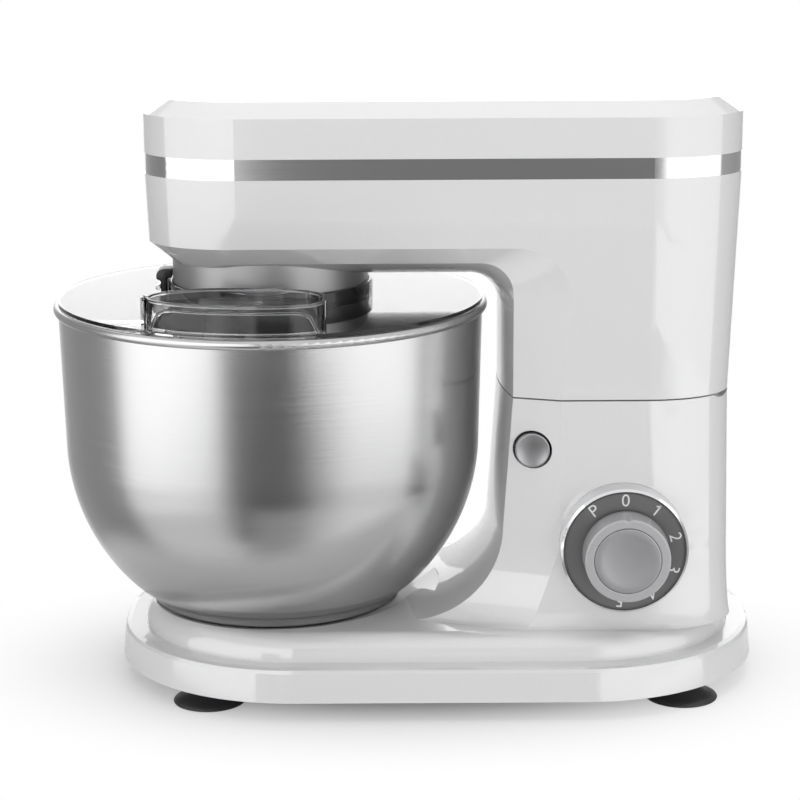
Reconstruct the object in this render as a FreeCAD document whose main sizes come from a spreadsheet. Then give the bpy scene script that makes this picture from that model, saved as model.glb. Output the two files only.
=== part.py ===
import FreeCAD
import Part
import Sketcher
import math
import os
import re

from FreeCAD import Placement, Rotation, Vector

# A tilt-head stand mixer, in millimetres. The frame stands on the table at z = 0,
# with the nose towards -X, the control side towards -Y and the hinge at the rear.

doc = FreeCAD.newDocument("stand_mixer")
sheet = doc.addObject("Spreadsheet::Sheet", "Sizes")

SIZES = {
    # Bowl: a pressed steel pan turned about an upright axis
    "column_gap": 5.5,
    "rim_top": 206,
    "rim_radius": 118,
    "rim_roll": 2.6,
    "bowl_wall": 1.2,
    "belly_z": 130,
    "rim_spread": 4.5,
    "belly_offset": 3.5,
    "belly_turn": 45,
    "bowl_bottom": 38,
    # Bayonet foot of the bowl and its seat in the base
    "foot_radius": 44,
    "foot_width": 4,
    "foot_height": 4.8,
    "seat_gap": 0.2,
    "seat_plate": 3,
    "lug_clear": 1,
    "seat_wall": 4,
    "dish_rise": 2.6,
    "lug_reach": 5,
    "lug_width": 12,
    "lug_thick": 2.4,
    "tab_thick": 1.4,
    "tab_angle": 14,
    "dish_inset": 34,
    "dish_spread": 15.5,
    # Base: a rounded plate with a raised deck
    "base_reach": 85,
    "base_rear": 191.5,
    "base_half": 105,
    "base_end_half": 7,
    "base_low": 10,
    "base_lip": 28,
    "base_edge": 2.5,
    "base_wall": 5,
    "deck_inset": 13,
    "dish_depth": 5.4,
    "deck_round": 12,
    "cover_thick": 3,
    # Column of the base, between the deck and the parting plane
    "parting": 162.4,
    "parting_gap": 0.8,
    "column_front": 50,
    "column_lean": 5,
    "column_rear_draft": 2,
    "column_draft": 3,
    "front_bow": 6.5,
    "front_flare": 50,
    "flare_sink": 0.15,
    "side_flare": 14.5,
    "side_flare_height": 34,
    "bevel_edge": 1.5,
    "crease_spread": 6,
    "bevel_slope": 3,
    "rear_run": 46,
    "rear_turn": 36,
    "column_wall": 7,
    # Head: beam over the bowl and upper half of the column
    "nose_reach": 64,
    "head_rear": 177.6,
    "head_half": 68,
    "head_draft": 2.2,
    "head_run": 50,
    "head_turn": 40,
    "head_wall": 3.5,
    "beam_gap": 15.5,
    "beam_bow": 12.5,
    "bevel_rise": 9.5,
    "bevel_run": 11.2,
    "arch_radius": 17,
    "crease_radius": 17,
    "bevel_radius": 34,
    "nose_bevel": 14.4,
    "nose_wall": 10,
    "floor_rise": 16.5,
    "beam_depth": 41.5,
    "trim_height": 10.8,
    "trim_inset": 0.4,
    "trim_thick": 2.6,
    "cover_height": 20.7,
    "roof_run": 12,
    "roof_rise": 7.5,
    "cover_wall": 3,
    # Hinge between the base and the head
    "hinge_inset": 5,
    "hinge_rise": 4,
    "pin_radius": 2.5,
    "pin_half": 40,
    "ear_radius": 4.5,
    "ear_inner": 18,
    "ear_width": 9,
    "slide_gap": 0.4,
    "run_fit": 0.05,
    # Neck, splash guard and feed chute
    "neck_wall": 5,
    "neck_gap": 0.6,
    "neck_bevel": 1.5,
    "guard_gap": 0.4,
    "guard_thick": 2,
    "guard_ease": 0.6,
    "collar_height": 7,
    "chute_offset": 13.5,
    "chute_inset": 6,
    "chute_waist": 75,
    "chute_back": 60,
    "chute_half": 46.5,
    "chute_back_half": 24,
    "chute_height": 14.1,
    "clip_width": 16,
    "clip_reach": 9,
    "clip_height": 16.6,
    "chute_round": 11,
    # Planetary gearing, two-stage drive and motor
    "gear_module": 1.2,
    "ring_module": 2,
    "ring_wall": 5.75,
    "ring_gap": 2.2,
    "ring_width": 10,
    "carrier_rise": 0.4,
    "carrier_ease": 1.5,
    "carrier_thick": 5,
    "carrier_bevel": 2,
    "hub_wall": 5,
    "planet_gap": 0.5,
    "shaft_end": 1,
    "main_radius": 6,
    "jack_radius": 4,
    "planet_radius": 5,
    "main_bearing": 14,
    "small_bearing": 9,
    "gear_rise": 13,
    "gear_width": 8,
    "plate_thick": 5,
    "gear_gap": 3,
    "gearbox_boss": 11,
    "gearbox_floor": 3,
    "lower_bearing": 8,
    "jack_floor": 1,
    "jack_end_gap": 0.2,
    "pillar_radius": 4,
    "shaft_clear": 2,
    "pulley_gap": 4,
    "pulley_width": 11,
    "pulley_flange": 2,
    "flange_edge": 1,
    "flange_foot": 1.5,
    "driven_radius": 33,
    "motor_pulley_radius": 6.6,
    "belt_width": 7.4,
    "belt_thick": 1.8,
    "belt_gap": 0.15,
    "bay_gap": 7.5,
    "bay_inset": 14.2,
    "bay_wall": 5.601,
    "floor_thick": 5,
    "stator_gap": 6,
    "fan_clear": 5,
    "stator_half": 33,
    "armature_radius": 18,
    "air_gap": 0.8,
    "motor_shaft_radius": 4,
    "motor_drop": 8,
    "brush_rise": 28,
    "motor_plate": 6,
    "frame_half": 40,
    "frame_width": 44,
    "frame_post": 2.9,
    "post_x": 36,
    "post_y": 16,
    "boss_height": 13,
    "boss_wall": 3,
    "bearing_height": 6,
    "bearing_rise": 7,
    "shaft_gap": 0.5,
    "commutator_radius": 11,
    "commutator_height": 13,
    "commutator_drop": 11,
    "brush_side": 7,
    "brush_drop": 8,
    "holder_x": 24,
    "holder_length": 6,
    "holder_width": 12,
    "fan_radius": 26,
    "fan_height": 9,
    "fan_hub": 8.7,
    "fan_blade": 1.6,
    "fan_gap": 4,
    # Speed control on the near side of the column
    "knob_x": 114.7,
    "knob_z": 84,
    "dial_stand": 14.399,
    "bezel_radius": 33.7,
    "bezel_sink": 3.601,
    "bezel_rim": 2.1,
    "knob_radius": 22.9,
    "knob_height": 18,
    "knob_gap": 0.6,
    "spindle_radius": 3,
    "dial_thick": 2.5,
    "bezel_proud": 1,
    "switch_radius": 20,
    "switch_length": 20,
    "bezel_step": 3,
    "bezel_bevel": 1.2,
    "knob_taper": 0.5,
    "knob_round": 1.5,
    "knob_recess": 2,
    "knob_cap_radius": 17.4,
    "cap_edge": 1.6,
    "cap_crown": 2.2,
    # Control board inside the column
    "board_length": 70,
    "board_width": 44,
    "board_thick": 1.6,
    "board_rise": 4,
    "board_post": 3,
    "board_post_inset": 5,
    "capacitor_radius": 7,
    "capacitor_height": 20,
    "capacitor_x": 14,
    "relay_length": 18,
    "relay_width": 12,
    "relay_height": 14,
    "relay_x": -24,
    # Head release button and latch
    "button_x": 66.6,
    "button_drop": 27.7,
    "button_radius": 9.1,
    "button_ease": 1.15,
    "button_sink": 2.601,
    "button_thick": 6,
    "button_bevel": 1.2,
    "button_dish": 1.6,
    "stem_radius": 3,
    "latch_plate": 4,
    "latch_height": 5,
    "latch_rise": 3,
    "latch_clear": 2,
    "catch_swing": 4,
    "notch_depth": 3.3,
    "catch_depth": 17,
    "catch_offset": -1,
    "catch_length": 10,
    "catch_width": 10,
    "catch_near": 12,
    "stem_run": 13,
    "spring_room": 17,
    "guide_length": 18,
    "guide_thick": 3,
    "guide_height": 40,
    "spring_radius": 5.5,
    "spring_wire": 0.6,
    # Suction feet and fasteners
    "foot_front_inset": 52.3,
    "foot_front_y": 72,
    "foot_rear_inset": 44.6,
    "foot_rear_y": 69.5,
    "cup_radius": 19.4,
    "cup_rim": 4,
    "cup_lip": 1.2,
    "cup_hollow": 3.3,
    "cup_neck": 9,
    "cup_neck_height": 3.5,
    "screw_radius": 1.6,
    "screw_head": 3.4,
    "screw_head_height": 2.2,
    "screw_length": 11,
    "screw_side_inset": 18,
    "screw_front_inset": 26,
    "screw_rear_inset": 24,
    "screw_offset": 40,
    "post_wall": 3.4,
    "vent_width": 3,
    "vent_pitch": 6.5,
    "vent_half": 11,
    "gland_radius": 6,
    "gland_wall": 2,
    "gland_stand": 1,
    # Flat beater
    "beater_half": 46,
    "beater_low": 54,
    "beater_top": 176,
    "beater_thick": 9,
    "beater_bar": 11,
    "beater_neck": 26,
    "beater_sink": 6,
    "beater_shoulder": 30,
    "beater_waist": 75,
    "beater_foot": 23,
    "beater_curve": 70,
    "window_curve": 60,
    "window_top": 22,
    "window_shoulder": 40,
    "window_foot": 17.5,
    "socket_wall": 4,
}

# Teeth: how many, and their height and width as parts of the module and the pitch
MAIN_TEETH = 60
PINION_TEETH = 12
RING_TEETH = 40
PLANET_TEETH = 12
TIP_SHARE = 0.8
ROOT_SHARE = 1.1
TIP_WIDTH = 0.24
ROOT_WIDTH = 0.56

# Sizes that follow from others, so that pieces which meet stay together
TIED = {
    "bowl_x": "column_front - column_gap - rim_radius",
    "base_front": "bowl_x - base_reach",
    "head_nose": "bowl_x - nose_reach",
    "neck_radius": f"ring_module * ({RING_TEETH} / 2 + {ROOT_SHARE}) + ring_wall + run_fit + neck_wall",
    "foot_front_x": "base_front + foot_front_inset",
    "foot_rear_x": "base_rear - foot_rear_inset",
    "belly_radius": "rim_radius - rim_spread - belly_offset",
    "seat_floor": "bowl_bottom - foot_height - seat_gap",
    "seat_radius": "foot_radius + lug_reach + lug_clear + seat_wall",
    "seat_rise": "seat_floor + dish_rise",
    "deck_top": "seat_rise + dish_depth",
    "dish_radius": "belly_radius - dish_inset",
    "dish_run": "dish_radius + dish_spread",
    "base_corner": "base_half - base_end_half",
    "column_half": "head_half - (trim_low - parting) * tan(head_draft)",
    "column_rear": "head_rear - (trim_low - parting) * tan(head_draft)",
    "crease_half": "head_half - bevel_run - bevel_edge",
    "hinge_x": "column_rear - hinge_inset",
    "hinge_z": "parting + hinge_rise",
    "swing_radius": "sqrt(hinge_inset ^ 2 + hinge_rise ^ 2) + slide_gap",
    "guard_low": "rim_top + guard_gap",
    "guard_bore": "neck_radius + guard_ease",
    "neck_low": "rim_top + neck_gap",
    "carrier_low": "neck_low + carrier_rise",
    "carrier_radius": "neck_radius - neck_wall - carrier_ease",
    "ring_low": "carrier_low + carrier_thick + ring_gap",
    "beam_low": "rim_top + beam_gap",
    "beam_floor": "beam_low + floor_rise",
    "side_low": "beam_low + beam_bow + bevel_rise",
    "trim_low": "beam_floor + beam_depth",
    "trim_high": "trim_low + trim_height",
    "side_top": "trim_high + cover_height",
    "chute_x": "bowl_x - chute_offset",
    "chute_radius": "rim_radius - chute_inset",
    "chute_top": "guard_low + chute_height",
    "clip_top": "guard_low + clip_height",
    "main_gear_low": "beam_floor + gear_rise",
    "upper_plate": "main_gear_low + gear_width + gear_gap",
    "pulley_low": "upper_plate + plate_thick + pulley_gap",
    "motor_top": "pulley_low - motor_drop - plate_thick",
    "bay_floor": "parting + floor_thick",
    "bay_rear": "hinge_x - bay_inset",
    "bay_half": "column_half - bay_wall",
    "bay_front": "column_front + front_bow + bay_gap",
    "brush_top": "bay_floor + brush_rise",
    "stator_low": "brush_top + stator_gap",
    "stator_height": "motor_top - fan_clear - fan_height - fan_gap - stator_low",
    "dial_face": "column_half + dial_stand",
    "bezel_back": "column_half - bezel_sink",
    "dial_radius": "bezel_radius - bezel_rim",
    "button_face": "column_half - button_sink",
    "button_z": "parting - button_drop",
    "button_hole": "button_radius + button_ease",
    "stem_end": "guide_face - guide_thick - stem_run",
    "guide_face": "button_face - button_thick - spring_room",
    "motor_x": "(bay_front + bay_rear) / 2",
}

for row, name in enumerate([*SIZES, *TIED], start=1):
    sheet.set(f"A{row}", name)
    sheet.setAlias(f"B{row}", name)
for name, number in SIZES.items():
    sheet.set(name, str(number))
for name, formula in TIED.items():
    sheet.set(name, f"={formula}")
doc.recompute()

nodes = []


def size(text):
    """The number that an expression of sheet names comes to."""
    return float(sheet.evalExpression(str(text)))


def bound(text):
    """The expression with each sheet name given its full address."""

    def address(word):
        known = word[0] in SIZES or word[0] in TIED
        return "Sizes." + word[0] if known else word[0]

    return re.sub(r"[a-z][a-z0-9_]*", address, str(text))


def keep(piece, label):
    """Name a finished sub-part and put it on the list of those that are written."""
    piece.Label = label
    nodes.append(piece)
    return piece


def place(piece, x="0", y="0", z="0", turn=None):
    """Put a piece at a point of the frame, turned if asked."""
    if turn:
        piece.Placement = Placement(Vector(), turn)
    for axis, text in zip("xyz", (x, y, z)):
        piece.setExpression(f"Placement.Base.{axis}", bound(text))
    return piece


FULL_TURN = 360
HALF_TURN = FULL_TURN / 2
QUARTER_TURN = FULL_TURN / 4
TO_NEAR_SIDE = Rotation(Vector(1, 0, 0), QUARTER_TURN)


def drawn(body, role, corners):
    """A closed sketch through corners (across, up) and, where the next side is an arc, its radius.

    A positive radius turns left along the outline, a negative one turns right.
    """
    sketch = body.newObject("Sketcher::SketchObject", body.Name + "_outline")
    plane = next(item for item in body.Origin.OriginFeatures if item.Role == role)
    sketch.AttachmentSupport = [(plane, "")]
    sketch.MapMode = "FlatFace"
    points = [Vector(size(corner[0]), size(corner[1]), 0) for corner in corners]
    starts = []
    ends = []
    rules = []
    texts = []
    for here, there, corner in zip(points, points[1:] + points[:1], corners):
        if len(corner) == 2:
            side = sketch.addGeometry(Part.LineSegment(here, there))
            starts.append((side, 1))
            ends.append((side, 2))
            continue
        radius = size(corner[2])
        chord = there - here
        middle = (here + there) / 2
        leftward = Vector(-chord.y, chord.x, 0).normalize()
        reach = math.sqrt(max(radius**2 - (chord.Length / 2) ** 2, 0))
        centre = middle + leftward * math.copysign(reach, radius)
        first, last = (here, there) if radius > 0 else (there, here)
        circle = Part.Circle(centre, Vector(0, 0, 1), abs(radius))
        angles = [math.atan2(end.y - centre.y, end.x - centre.x) for end in (first, last)]
        side = sketch.addGeometry(Part.ArcOfCircle(circle, *angles))
        starts.append((side, 1 if radius > 0 else 2))
        ends.append((side, 2 if radius > 0 else 1))
        rules.append(Sketcher.Constraint("Radius", side, abs(radius)))
        texts.append(f"abs({corner[2]})")
    for point, corner, start in zip(points, corners, starts):
        rules.append(Sketcher.Constraint("DistanceX", -1, 1, *start, point.x))
        texts.append(corner[0])
        rules.append(Sketcher.Constraint("DistanceY", -1, 1, *start, point.y))
        texts.append(corner[1])
    onward = starts[1:] + starts[:1]
    joints = [Sketcher.Constraint("Coincident", *end, *start) for end, start in zip(ends, onward)]
    sketch.addConstraint(joints + rules)
    for index, text in enumerate(texts, start=len(joints)):
        sketch.setExpression(f"Constraints[{index}]", bound(text))
    return sketch


def new_body(label):
    """An empty body with its name."""
    return doc.addObject("PartDesign::Body", label)


def turned(label, corners):
    """A body turned about the upright axis from a profile of (radius, height) corners."""
    body = new_body(label)
    spin = body.newObject("PartDesign::Revolution", label + "_turning")
    spin.Profile = drawn(body, "XZ_Plane", corners)
    spin.ReferenceAxis = (spin.Profile[0], ["V_Axis"])
    spin.Angle = FULL_TURN
    return body


def bulge_radius(reach, rise):
    """Radius of the round dome or dish that has a given reach and rise."""
    return f"(({reach} * {reach} + {rise} * {rise}) / (2 * {rise}))"


def sleeve(label, outer, inner, height):
    """A turned ring that stands on its own z = 0."""
    return turned(label, [(inner, "0"), (outer, "0"), (outer, height), (inner, height)])


def plate(label, role, corners, thickness, both_ways=False):
    """A body of even thickness from an outline on one of its planes."""
    body = new_body(label)
    pad = body.newObject("PartDesign::Pad", label + "_pad")
    pad.Profile = drawn(body, role, corners)
    pad.SideType = "Symmetric" if both_ways else "One side"
    pad.setExpression("Length", bound(thickness))
    return body


def drum(name, radius, height):
    """A plain cylinder that stands on its own z = 0."""
    cylinder = doc.addObject("Part::Cylinder", name)
    cylinder.setExpression("Radius", bound(radius))
    cylinder.setExpression("Height", bound(height))
    return cylinder


def block(name, length, width, height):
    """A plain box, its low corner at its own origin."""
    box = doc.addObject("Part::Box", name)
    for side, text in zip(("Length", "Width", "Height"), (length, width, height)):
        box.setExpression(side, bound(text))
    return box


def cut(base, *tools):
    """The base with every tool taken out."""
    for tool in tools:
        result = doc.addObject("Part::Cut", base.Name + "_cut")
        result.Base = base
        result.Tool = tool
        base = result
    return base


def fused(name, *pieces):
    """Pieces that are one solid."""
    fusion = doc.addObject("Part::MultiFuse", name)
    fusion.Shapes = list(pieces)
    return fusion


def group(label, pieces):
    """Like pieces that share a node and stay separate solids."""
    compound = doc.addObject("Part::Compound", label)
    compound.Links = list(pieces)
    return keep(compound, label)


def shaped(label, shape):
    """A moulded piece whose shape is worked out from the sheet."""
    piece = doc.addObject("Part::Feature", label)
    piece.Shape = shape
    return keep(piece, label)


# Plan outlines of the mouldings

ROUND_HANDLE = 0.5523


def corner_curve(start, corner, end):
    """A quarter-ellipse curve from start to end, tangent to the two sides that meet at corner."""
    if math.isclose((corner - start).Length, (end - corner).Length):
        centre = start + end - corner
        middle = centre + (corner - centre) * math.sqrt(0.5)
        return Part.Arc(start, middle, end).toShape()
    curve = Part.BezierCurve()
    leaving = start + (corner - start) * ROUND_HANDLE
    arriving = end + (corner - end) * ROUND_HANDLE
    curve.setPoles([start, leaving, arriving, end])
    return curve.toShape()


def rounded_plan(front, rear, half, run, turn, z):
    """A rectangle in plan with corners that are run long and turn wide."""
    edges = []
    corners = [Vector(x, y, z) for x, y in ((rear, -half), (rear, half), (front, half), (front, -half))]
    along = [Vector(-run, 0, 0), Vector(0, -turn, 0), Vector(run, 0, 0), Vector(0, turn, 0)]
    onward = [Vector(0, turn, 0), Vector(-run, 0, 0), Vector(0, -turn, 0), Vector(run, 0, 0)]
    for index, corner in enumerate(corners):
        edges.append(corner_curve(corner + along[index], corner, corner + onward[index]))
        following = (index + 1) % len(corners)
        edges.append(Part.makeLine(corner + onward[index], corners[following] + along[following]))
    return Part.Wire(edges)


def base_plan(inset, z):
    """Outline of the base plate, drawn in by an inset."""
    corner = size("base_corner") - inset
    return rounded_plan(
        size("base_front") + inset, size("base_rear") - inset, size("base_half") - inset, corner, corner, z
    )


def head_plan(inset, z):
    """Outline of the head at the trim band, drawn in by an inset."""
    return rounded_plan(
        size("head_nose") + inset,
        size("head_rear") - inset,
        size("head_half") - inset,
        size("head_run") - inset,
        size("head_turn") - inset,
        z,
    )


def loft(wires, ruled=True):
    """A solid through plan outlines from the lowest to the highest."""
    return Part.makeLoft(wires, True, ruled)


def prism(wire, height):
    """An upright solid on a plan outline."""
    return Part.Face(wire).extrude(Vector(0, 0, height))


def cross_drum(radius, x, z, y_from, y_to):
    """A cylinder along Y."""
    return Part.makeCylinder(radius, y_to - y_from, Vector(x, y_from, z), Vector(0, 1, 0))


def span_box(x_from, x_to, y_from, y_to, z_from, z_to):
    """A box between two corners."""
    return Part.makeBox(x_to - x_from, y_to - y_from, z_to - z_from, Vector(x_from, y_from, z_from))


# Base housing: plate wall, raised deck with a rolled edge, and a column whose foot flares out

base_low = size("base_low")
base_lip = size("base_lip")
base_edge = size("base_edge")
deck_top = size("deck_top")
deck_inset = size("deck_inset")
deck_round = size("deck_round")
parting = size("parting")
flare_low = deck_top - size("flare_sink")


def flare(height, reach, rise):
    """How far a hollow quarter-ellipse foot stands out at a height above the deck."""
    left = max(1 - height / rise, 0)
    return reach * (1 - math.sqrt(1 - left**2))


def column_plan(z):
    """Outline of the column: bowed front, bevelled to the sides, with a rounded rear."""
    height = z - flare_low
    drop = (parting - z) / (parting - flare_low)
    lean = size("column_lean") * min(1, (parting - z) / (parting - flare_low - size("front_flare")))
    front = size("column_front") - lean - flare(height, size("front_flare"), size("front_flare"))
    half = size("column_half") + size("column_draft") * drop
    half += flare(height, size("side_flare"), size("side_flare_height"))
    crease = size("crease_half") + flare(height, size("crease_spread"), size("front_flare"))
    crease_x = front + size("front_bow")
    side_x = crease_x + (half - crease) * size("bevel_slope")
    rear = size("column_rear") + size("column_rear_draft") * drop
    run = size("rear_run")
    turn = size("rear_turn")
    crease_near = Vector(crease_x, -crease, z)
    crease_far = Vector(crease_x, crease, z)
    side_near = Vector(side_x, -half, z)
    side_far = Vector(side_x, half, z)
    rear_near = Vector(rear, -half, z)
    rear_far = Vector(rear, half, z)
    along = Vector(run, 0, 0)
    across = Vector(0, turn, 0)
    return Part.Wire(
        [
            Part.makeLine(crease_near, side_near),
            Part.makeLine(side_near, rear_near - along),
            corner_curve(rear_near - along, rear_near, rear_near + across),
            Part.makeLine(rear_near + across, rear_far - across),
            corner_curve(rear_far - across, rear_far, rear_far - along),
            Part.makeLine(rear_far - along, side_far),
            Part.makeLine(side_far, crease_far),
            Part.Arc(crease_far, Vector(front, 0, z), crease_near).toShape(),
        ]
    )


EDGE_IN = 0.6
EDGE_DOWN = 0.3
plate_wall = loft(
    [
        base_plan(0, base_low),
        base_plan(base_edge * EDGE_IN, base_lip - base_edge),
        base_plan(base_edge, base_lip - base_edge * EDGE_DOWN),
        base_plan(base_edge * 2, base_lip),
    ]
)
deck = prism(base_plan(deck_inset, base_lip - base_edge), deck_top - base_lip + base_edge)
deck_rim = [edge for edge in deck.Edges if edge.BoundBox.ZMin > deck_top - base_edge]
deck = deck.makeFillet(deck_round, deck_rim)
flare_top = size("front_flare")
FLARE_SHARES = (0.002, 0.02, 0.06, 0.12, 0.22, 0.35, 0.5, 0.75, 1)
flare_heights = [flare_top * share for share in FLARE_SHARES]
column_foot = loft([column_plan(flare_low + height) for height in flare_heights], ruled=False)
column_shaft = loft([column_plan(flare_low + flare_top), column_plan(size("parting - parting_gap"))])
root_plan = column_plan(flare_low + flare_top)
root_plan.translate(Vector(0, 0, base_lip - base_edge - flare_low - flare_top))
column_root = prism(root_plan, deck_top - base_lip + base_edge)
column = column_foot.fuse(column_shaft).fuse(column_root)
base_shape = plate_wall.fuse(deck).fuse(column)

# Dish and pocket under the bowl
bowl_x = size("bowl_x")
seat_radius = size("seat_radius")
seat_floor = size("seat_floor")
dish_radius = size("dish_radius")
dish_slope = (deck_top - size("seat_rise")) / (dish_radius - seat_radius)
dish_far = size("dish_run")
dish_points = [
    Vector(0, 0, seat_floor - size("seat_plate")),
    Vector(seat_radius, 0, seat_floor - size("seat_plate")),
    Vector(seat_radius, 0, size("seat_rise")),
    Vector(dish_far, 0, size("seat_rise") + dish_slope * (dish_far - seat_radius)),
    Vector(dish_far, 0, deck_top + flare_top),
    Vector(0, 0, deck_top + flare_top),
]
dish_face = Part.Face(Part.makePolygon(dish_points + dish_points[:1]))
dish = dish_face.revolve(Vector(), Vector(0, 0, 1), FULL_TURN)
dish.translate(Vector(bowl_x, 0, 0))

# Hollow of the base: shallow under the deck, tall inside the column
base_wall = size("base_wall")
column_wall = size("column_wall")
cover_room = prism(base_plan(base_wall, base_low), base_lip - base_low - base_edge)
column_room = prism(
    rounded_plan(
        size("column_front + front_bow + base_wall"),
        size("hinge_x - swing_radius - column_wall / 2"),
        size("column_half") - column_wall,
        size("rear_turn") / 2,
        size("rear_turn") / 2,
        base_low,
    ),
    parting - column_wall - base_low,
)

# Hinge: a trough for the rear edge of the head, and two ears for the pin
hinge_x = size("hinge_x")
hinge_z = size("hinge_z")
ear_inner = size("ear_inner")
ear_outer = ear_inner + size("ear_width")
ear_radius = size("ear_radius")
trough = cross_drum(size("swing_radius"), hinge_x, hinge_z, -size("column_half"), size("column_half"))
base_shape = base_shape.cut(dish).cut(cover_room).cut(column_room).cut(trough)
for side in (-1, 1):
    low, high = sorted((side * ear_inner, side * ear_outer))
    ear = cross_drum(ear_radius, hinge_x, hinge_z, low, high)
    ear_foot = span_box(
        hinge_x - ear_radius, hinge_x + ear_radius, low, high, hinge_z - 2 * size("swing_radius"), hinge_z
    )
    base_shape = base_shape.fuse([ear, ear_foot])
pin_bore = cross_drum(size("pin_radius + run_fit"), hinge_x, hinge_z, -ear_outer, ear_outer)

# Openings for the speed control, the release button and the latch hook
knob_x = size("knob_x")
knob_z = size("knob_z")
outside = -size("base_half")
knob_hole = cross_drum(size("bezel_radius + run_fit"), knob_x, knob_z, outside, 0)
knob_hole = knob_hole.cut(span_box(0, size("base_rear"), -size("bezel_back"), 0, 0, parting))
knob_back = cross_drum(size("switch_radius + slide_gap"), knob_x, knob_z, outside, 0)
button_hole = cross_drum(
    size("button_hole"), size("button_x"), size("button_z"), outside, -size("guide_face")
)
catch_slot = span_box(
    size("button_x + catch_offset - catch_swing"),
    size("button_x + catch_offset + catch_length + latch_clear"),
    size("-catch_near - slide_gap"),
    size("-catch_near + catch_width + slide_gap"),
    parting - 2 * column_wall,
    parting,
)
base_shape = base_shape.cut([pin_bore, knob_hole, knob_back, button_hole, catch_slot])

# Screw posts that the bottom cover is fixed to
SCREW_SPOTS = (
    ("base_front + screw_front_inset", "0"),
    ("bowl_x + screw_offset", "base_half - screw_side_inset"),
    ("bowl_x + screw_offset", "screw_side_inset - base_half"),
    ("base_rear - screw_rear_inset", "0"),
    ("motor_x", "base_half - screw_side_inset"),
    ("motor_x", "screw_side_inset - base_half"),
)
cover_shape = prism(base_plan(base_wall + size("run_fit"), base_low), size("cover_thick"))
for x, y in SCREW_SPOTS:
    spot = Vector(size(x), size(y), base_low)
    post_low = spot + Vector(0, 0, size("cover_thick"))
    pilot_radius = size("screw_radius + run_fit")
    post = Part.makeCylinder(pilot_radius + size("post_wall"), base_lip - base_edge - post_low.z, post_low)
    pilot = Part.makeCylinder(pilot_radius, size("screw_length + slide_gap"), spot)
    base_shape = base_shape.fuse(post).cut(pilot)
    cover_shape = cover_shape.cut(pilot)
VENT_COUNT = 8
for index in range(VENT_COUNT):
    vent_x = size("motor_x") + size("vent_pitch") * (index - (VENT_COUNT - 1) / 2)
    vent_reach = size("vent_width") / 2
    vent_half = size("vent_half")
    vent_top = size("base_low + cover_thick")
    vent = span_box(vent_x - vent_reach, vent_x + vent_reach, -vent_half, vent_half, base_low, vent_top)
    cover_shape = cover_shape.cut(vent)

# Hole for the lead at the rear of the plate
gland_z = (base_low + base_lip) / 2
gland_start = Vector(size("base_rear") - 2 * base_wall, 0, gland_z)
gland_hole = Part.makeCylinder(size("gland_radius"), 2 * base_wall, gland_start, Vector(1, 0, 0))
base_shape = base_shape.cut(gland_hole)
shaped("base_housing", base_shape)
shaped("bottom_cover", cover_shape)

gland = sleeve("cord_gland", "gland_radius - run_fit", "gland_radius - gland_wall", "base_wall")
TO_REAR = Rotation(Vector(0, 1, 0), QUARTER_TURN)
place(gland, "base_rear - base_wall - gland_stand", "0", "(base_low + base_lip) / 2", TO_REAR)
keep(gland, "cord_gland")

# Suction feet: flared rubber cups with a thick rim, under the bottom cover
FOOT_SPOTS = (
    ("foot_front_x", "foot_front_y"),
    ("foot_front_x", "-foot_front_y"),
    ("foot_rear_x", "foot_rear_y"),
    ("foot_rear_x", "-foot_rear_y"),
)
cup_profile = [
    ("0", "cup_hollow"),
    ("cup_radius - cup_rim", "0"),
    ("cup_radius", "0"),
    ("cup_radius", "cup_lip"),
    ("cup_neck", "base_low - cup_neck_height"),
    ("cup_neck", "base_low"),
    ("0", "base_low"),
]
group("suction_feet", [place(turned("suction_cup", cup_profile), x, y) for x, y in FOOT_SPOTS])

# Screws of the bottom cover
screw_profile = [
    ("0", "0"),
    ("screw_head", "0"),
    ("screw_head", "screw_head_height"),
    ("screw_radius", "screw_head_height"),
    ("screw_radius", "screw_head_height + screw_length"),
    ("0", "screw_head_height + screw_length"),
]
screw_low = "base_low - screw_head_height"
screws = [place(turned("cover_screw", screw_profile), x, y, screw_low) for x, y in SCREW_SPOTS]
group("cover_screws", screws)

# Bowl: flat bottom, tight lower curve, wide belly, straight wall and rolled rim
low_radius = "((belly_z - belly_radius * sin(belly_turn) - bowl_bottom) / (1 - sin(belly_turn)))"
flat_radius = f"belly_offset + (belly_radius - {low_radius}) * cos(belly_turn)"
bowl = turned(
    "bowl",
    [
        ("0", "bowl_bottom"),
        (flat_radius, "bowl_bottom", low_radius),
        (
            "belly_offset + belly_radius * cos(belly_turn)",
            "belly_z - belly_radius * sin(belly_turn)",
            "belly_radius",
        ),
        ("belly_offset + belly_radius", "belly_z"),
        ("rim_radius - rim_roll", "rim_top - 2 * rim_roll", "rim_roll"),
        ("rim_radius", "rim_top - rim_roll", "rim_roll"),
        ("rim_radius - rim_roll", "rim_top"),
        ("rim_radius - rim_roll - bowl_wall", "rim_top"),
        ("belly_offset + belly_radius - bowl_wall", "belly_z", "bowl_wall - belly_radius"),
        (
            "belly_offset + (belly_radius - bowl_wall) * cos(belly_turn)",
            "belly_z - (belly_radius - bowl_wall) * sin(belly_turn)",
            f"bowl_wall - {low_radius}",
        ),
        (flat_radius, "bowl_bottom + bowl_wall"),
        ("0", "bowl_bottom + bowl_wall"),
    ],
)
keep(place(bowl, "bowl_x"), "bowl")

# Bayonet foot under the bowl, with three lugs
BAYONET_COUNT = 3


def ring_of(body, feature):
    """Repeat a feature of a body round its upright axis."""
    pattern = body.newObject("PartDesign::PolarPattern", body.Name + "_ring")
    pattern.Originals = [feature]
    pattern.Axis = (feature.Profile[0], ["N_Axis"])
    pattern.Angle = FULL_TURN
    pattern.Occurrences = BAYONET_COUNT
    body.Tip = pattern
    return body


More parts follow.
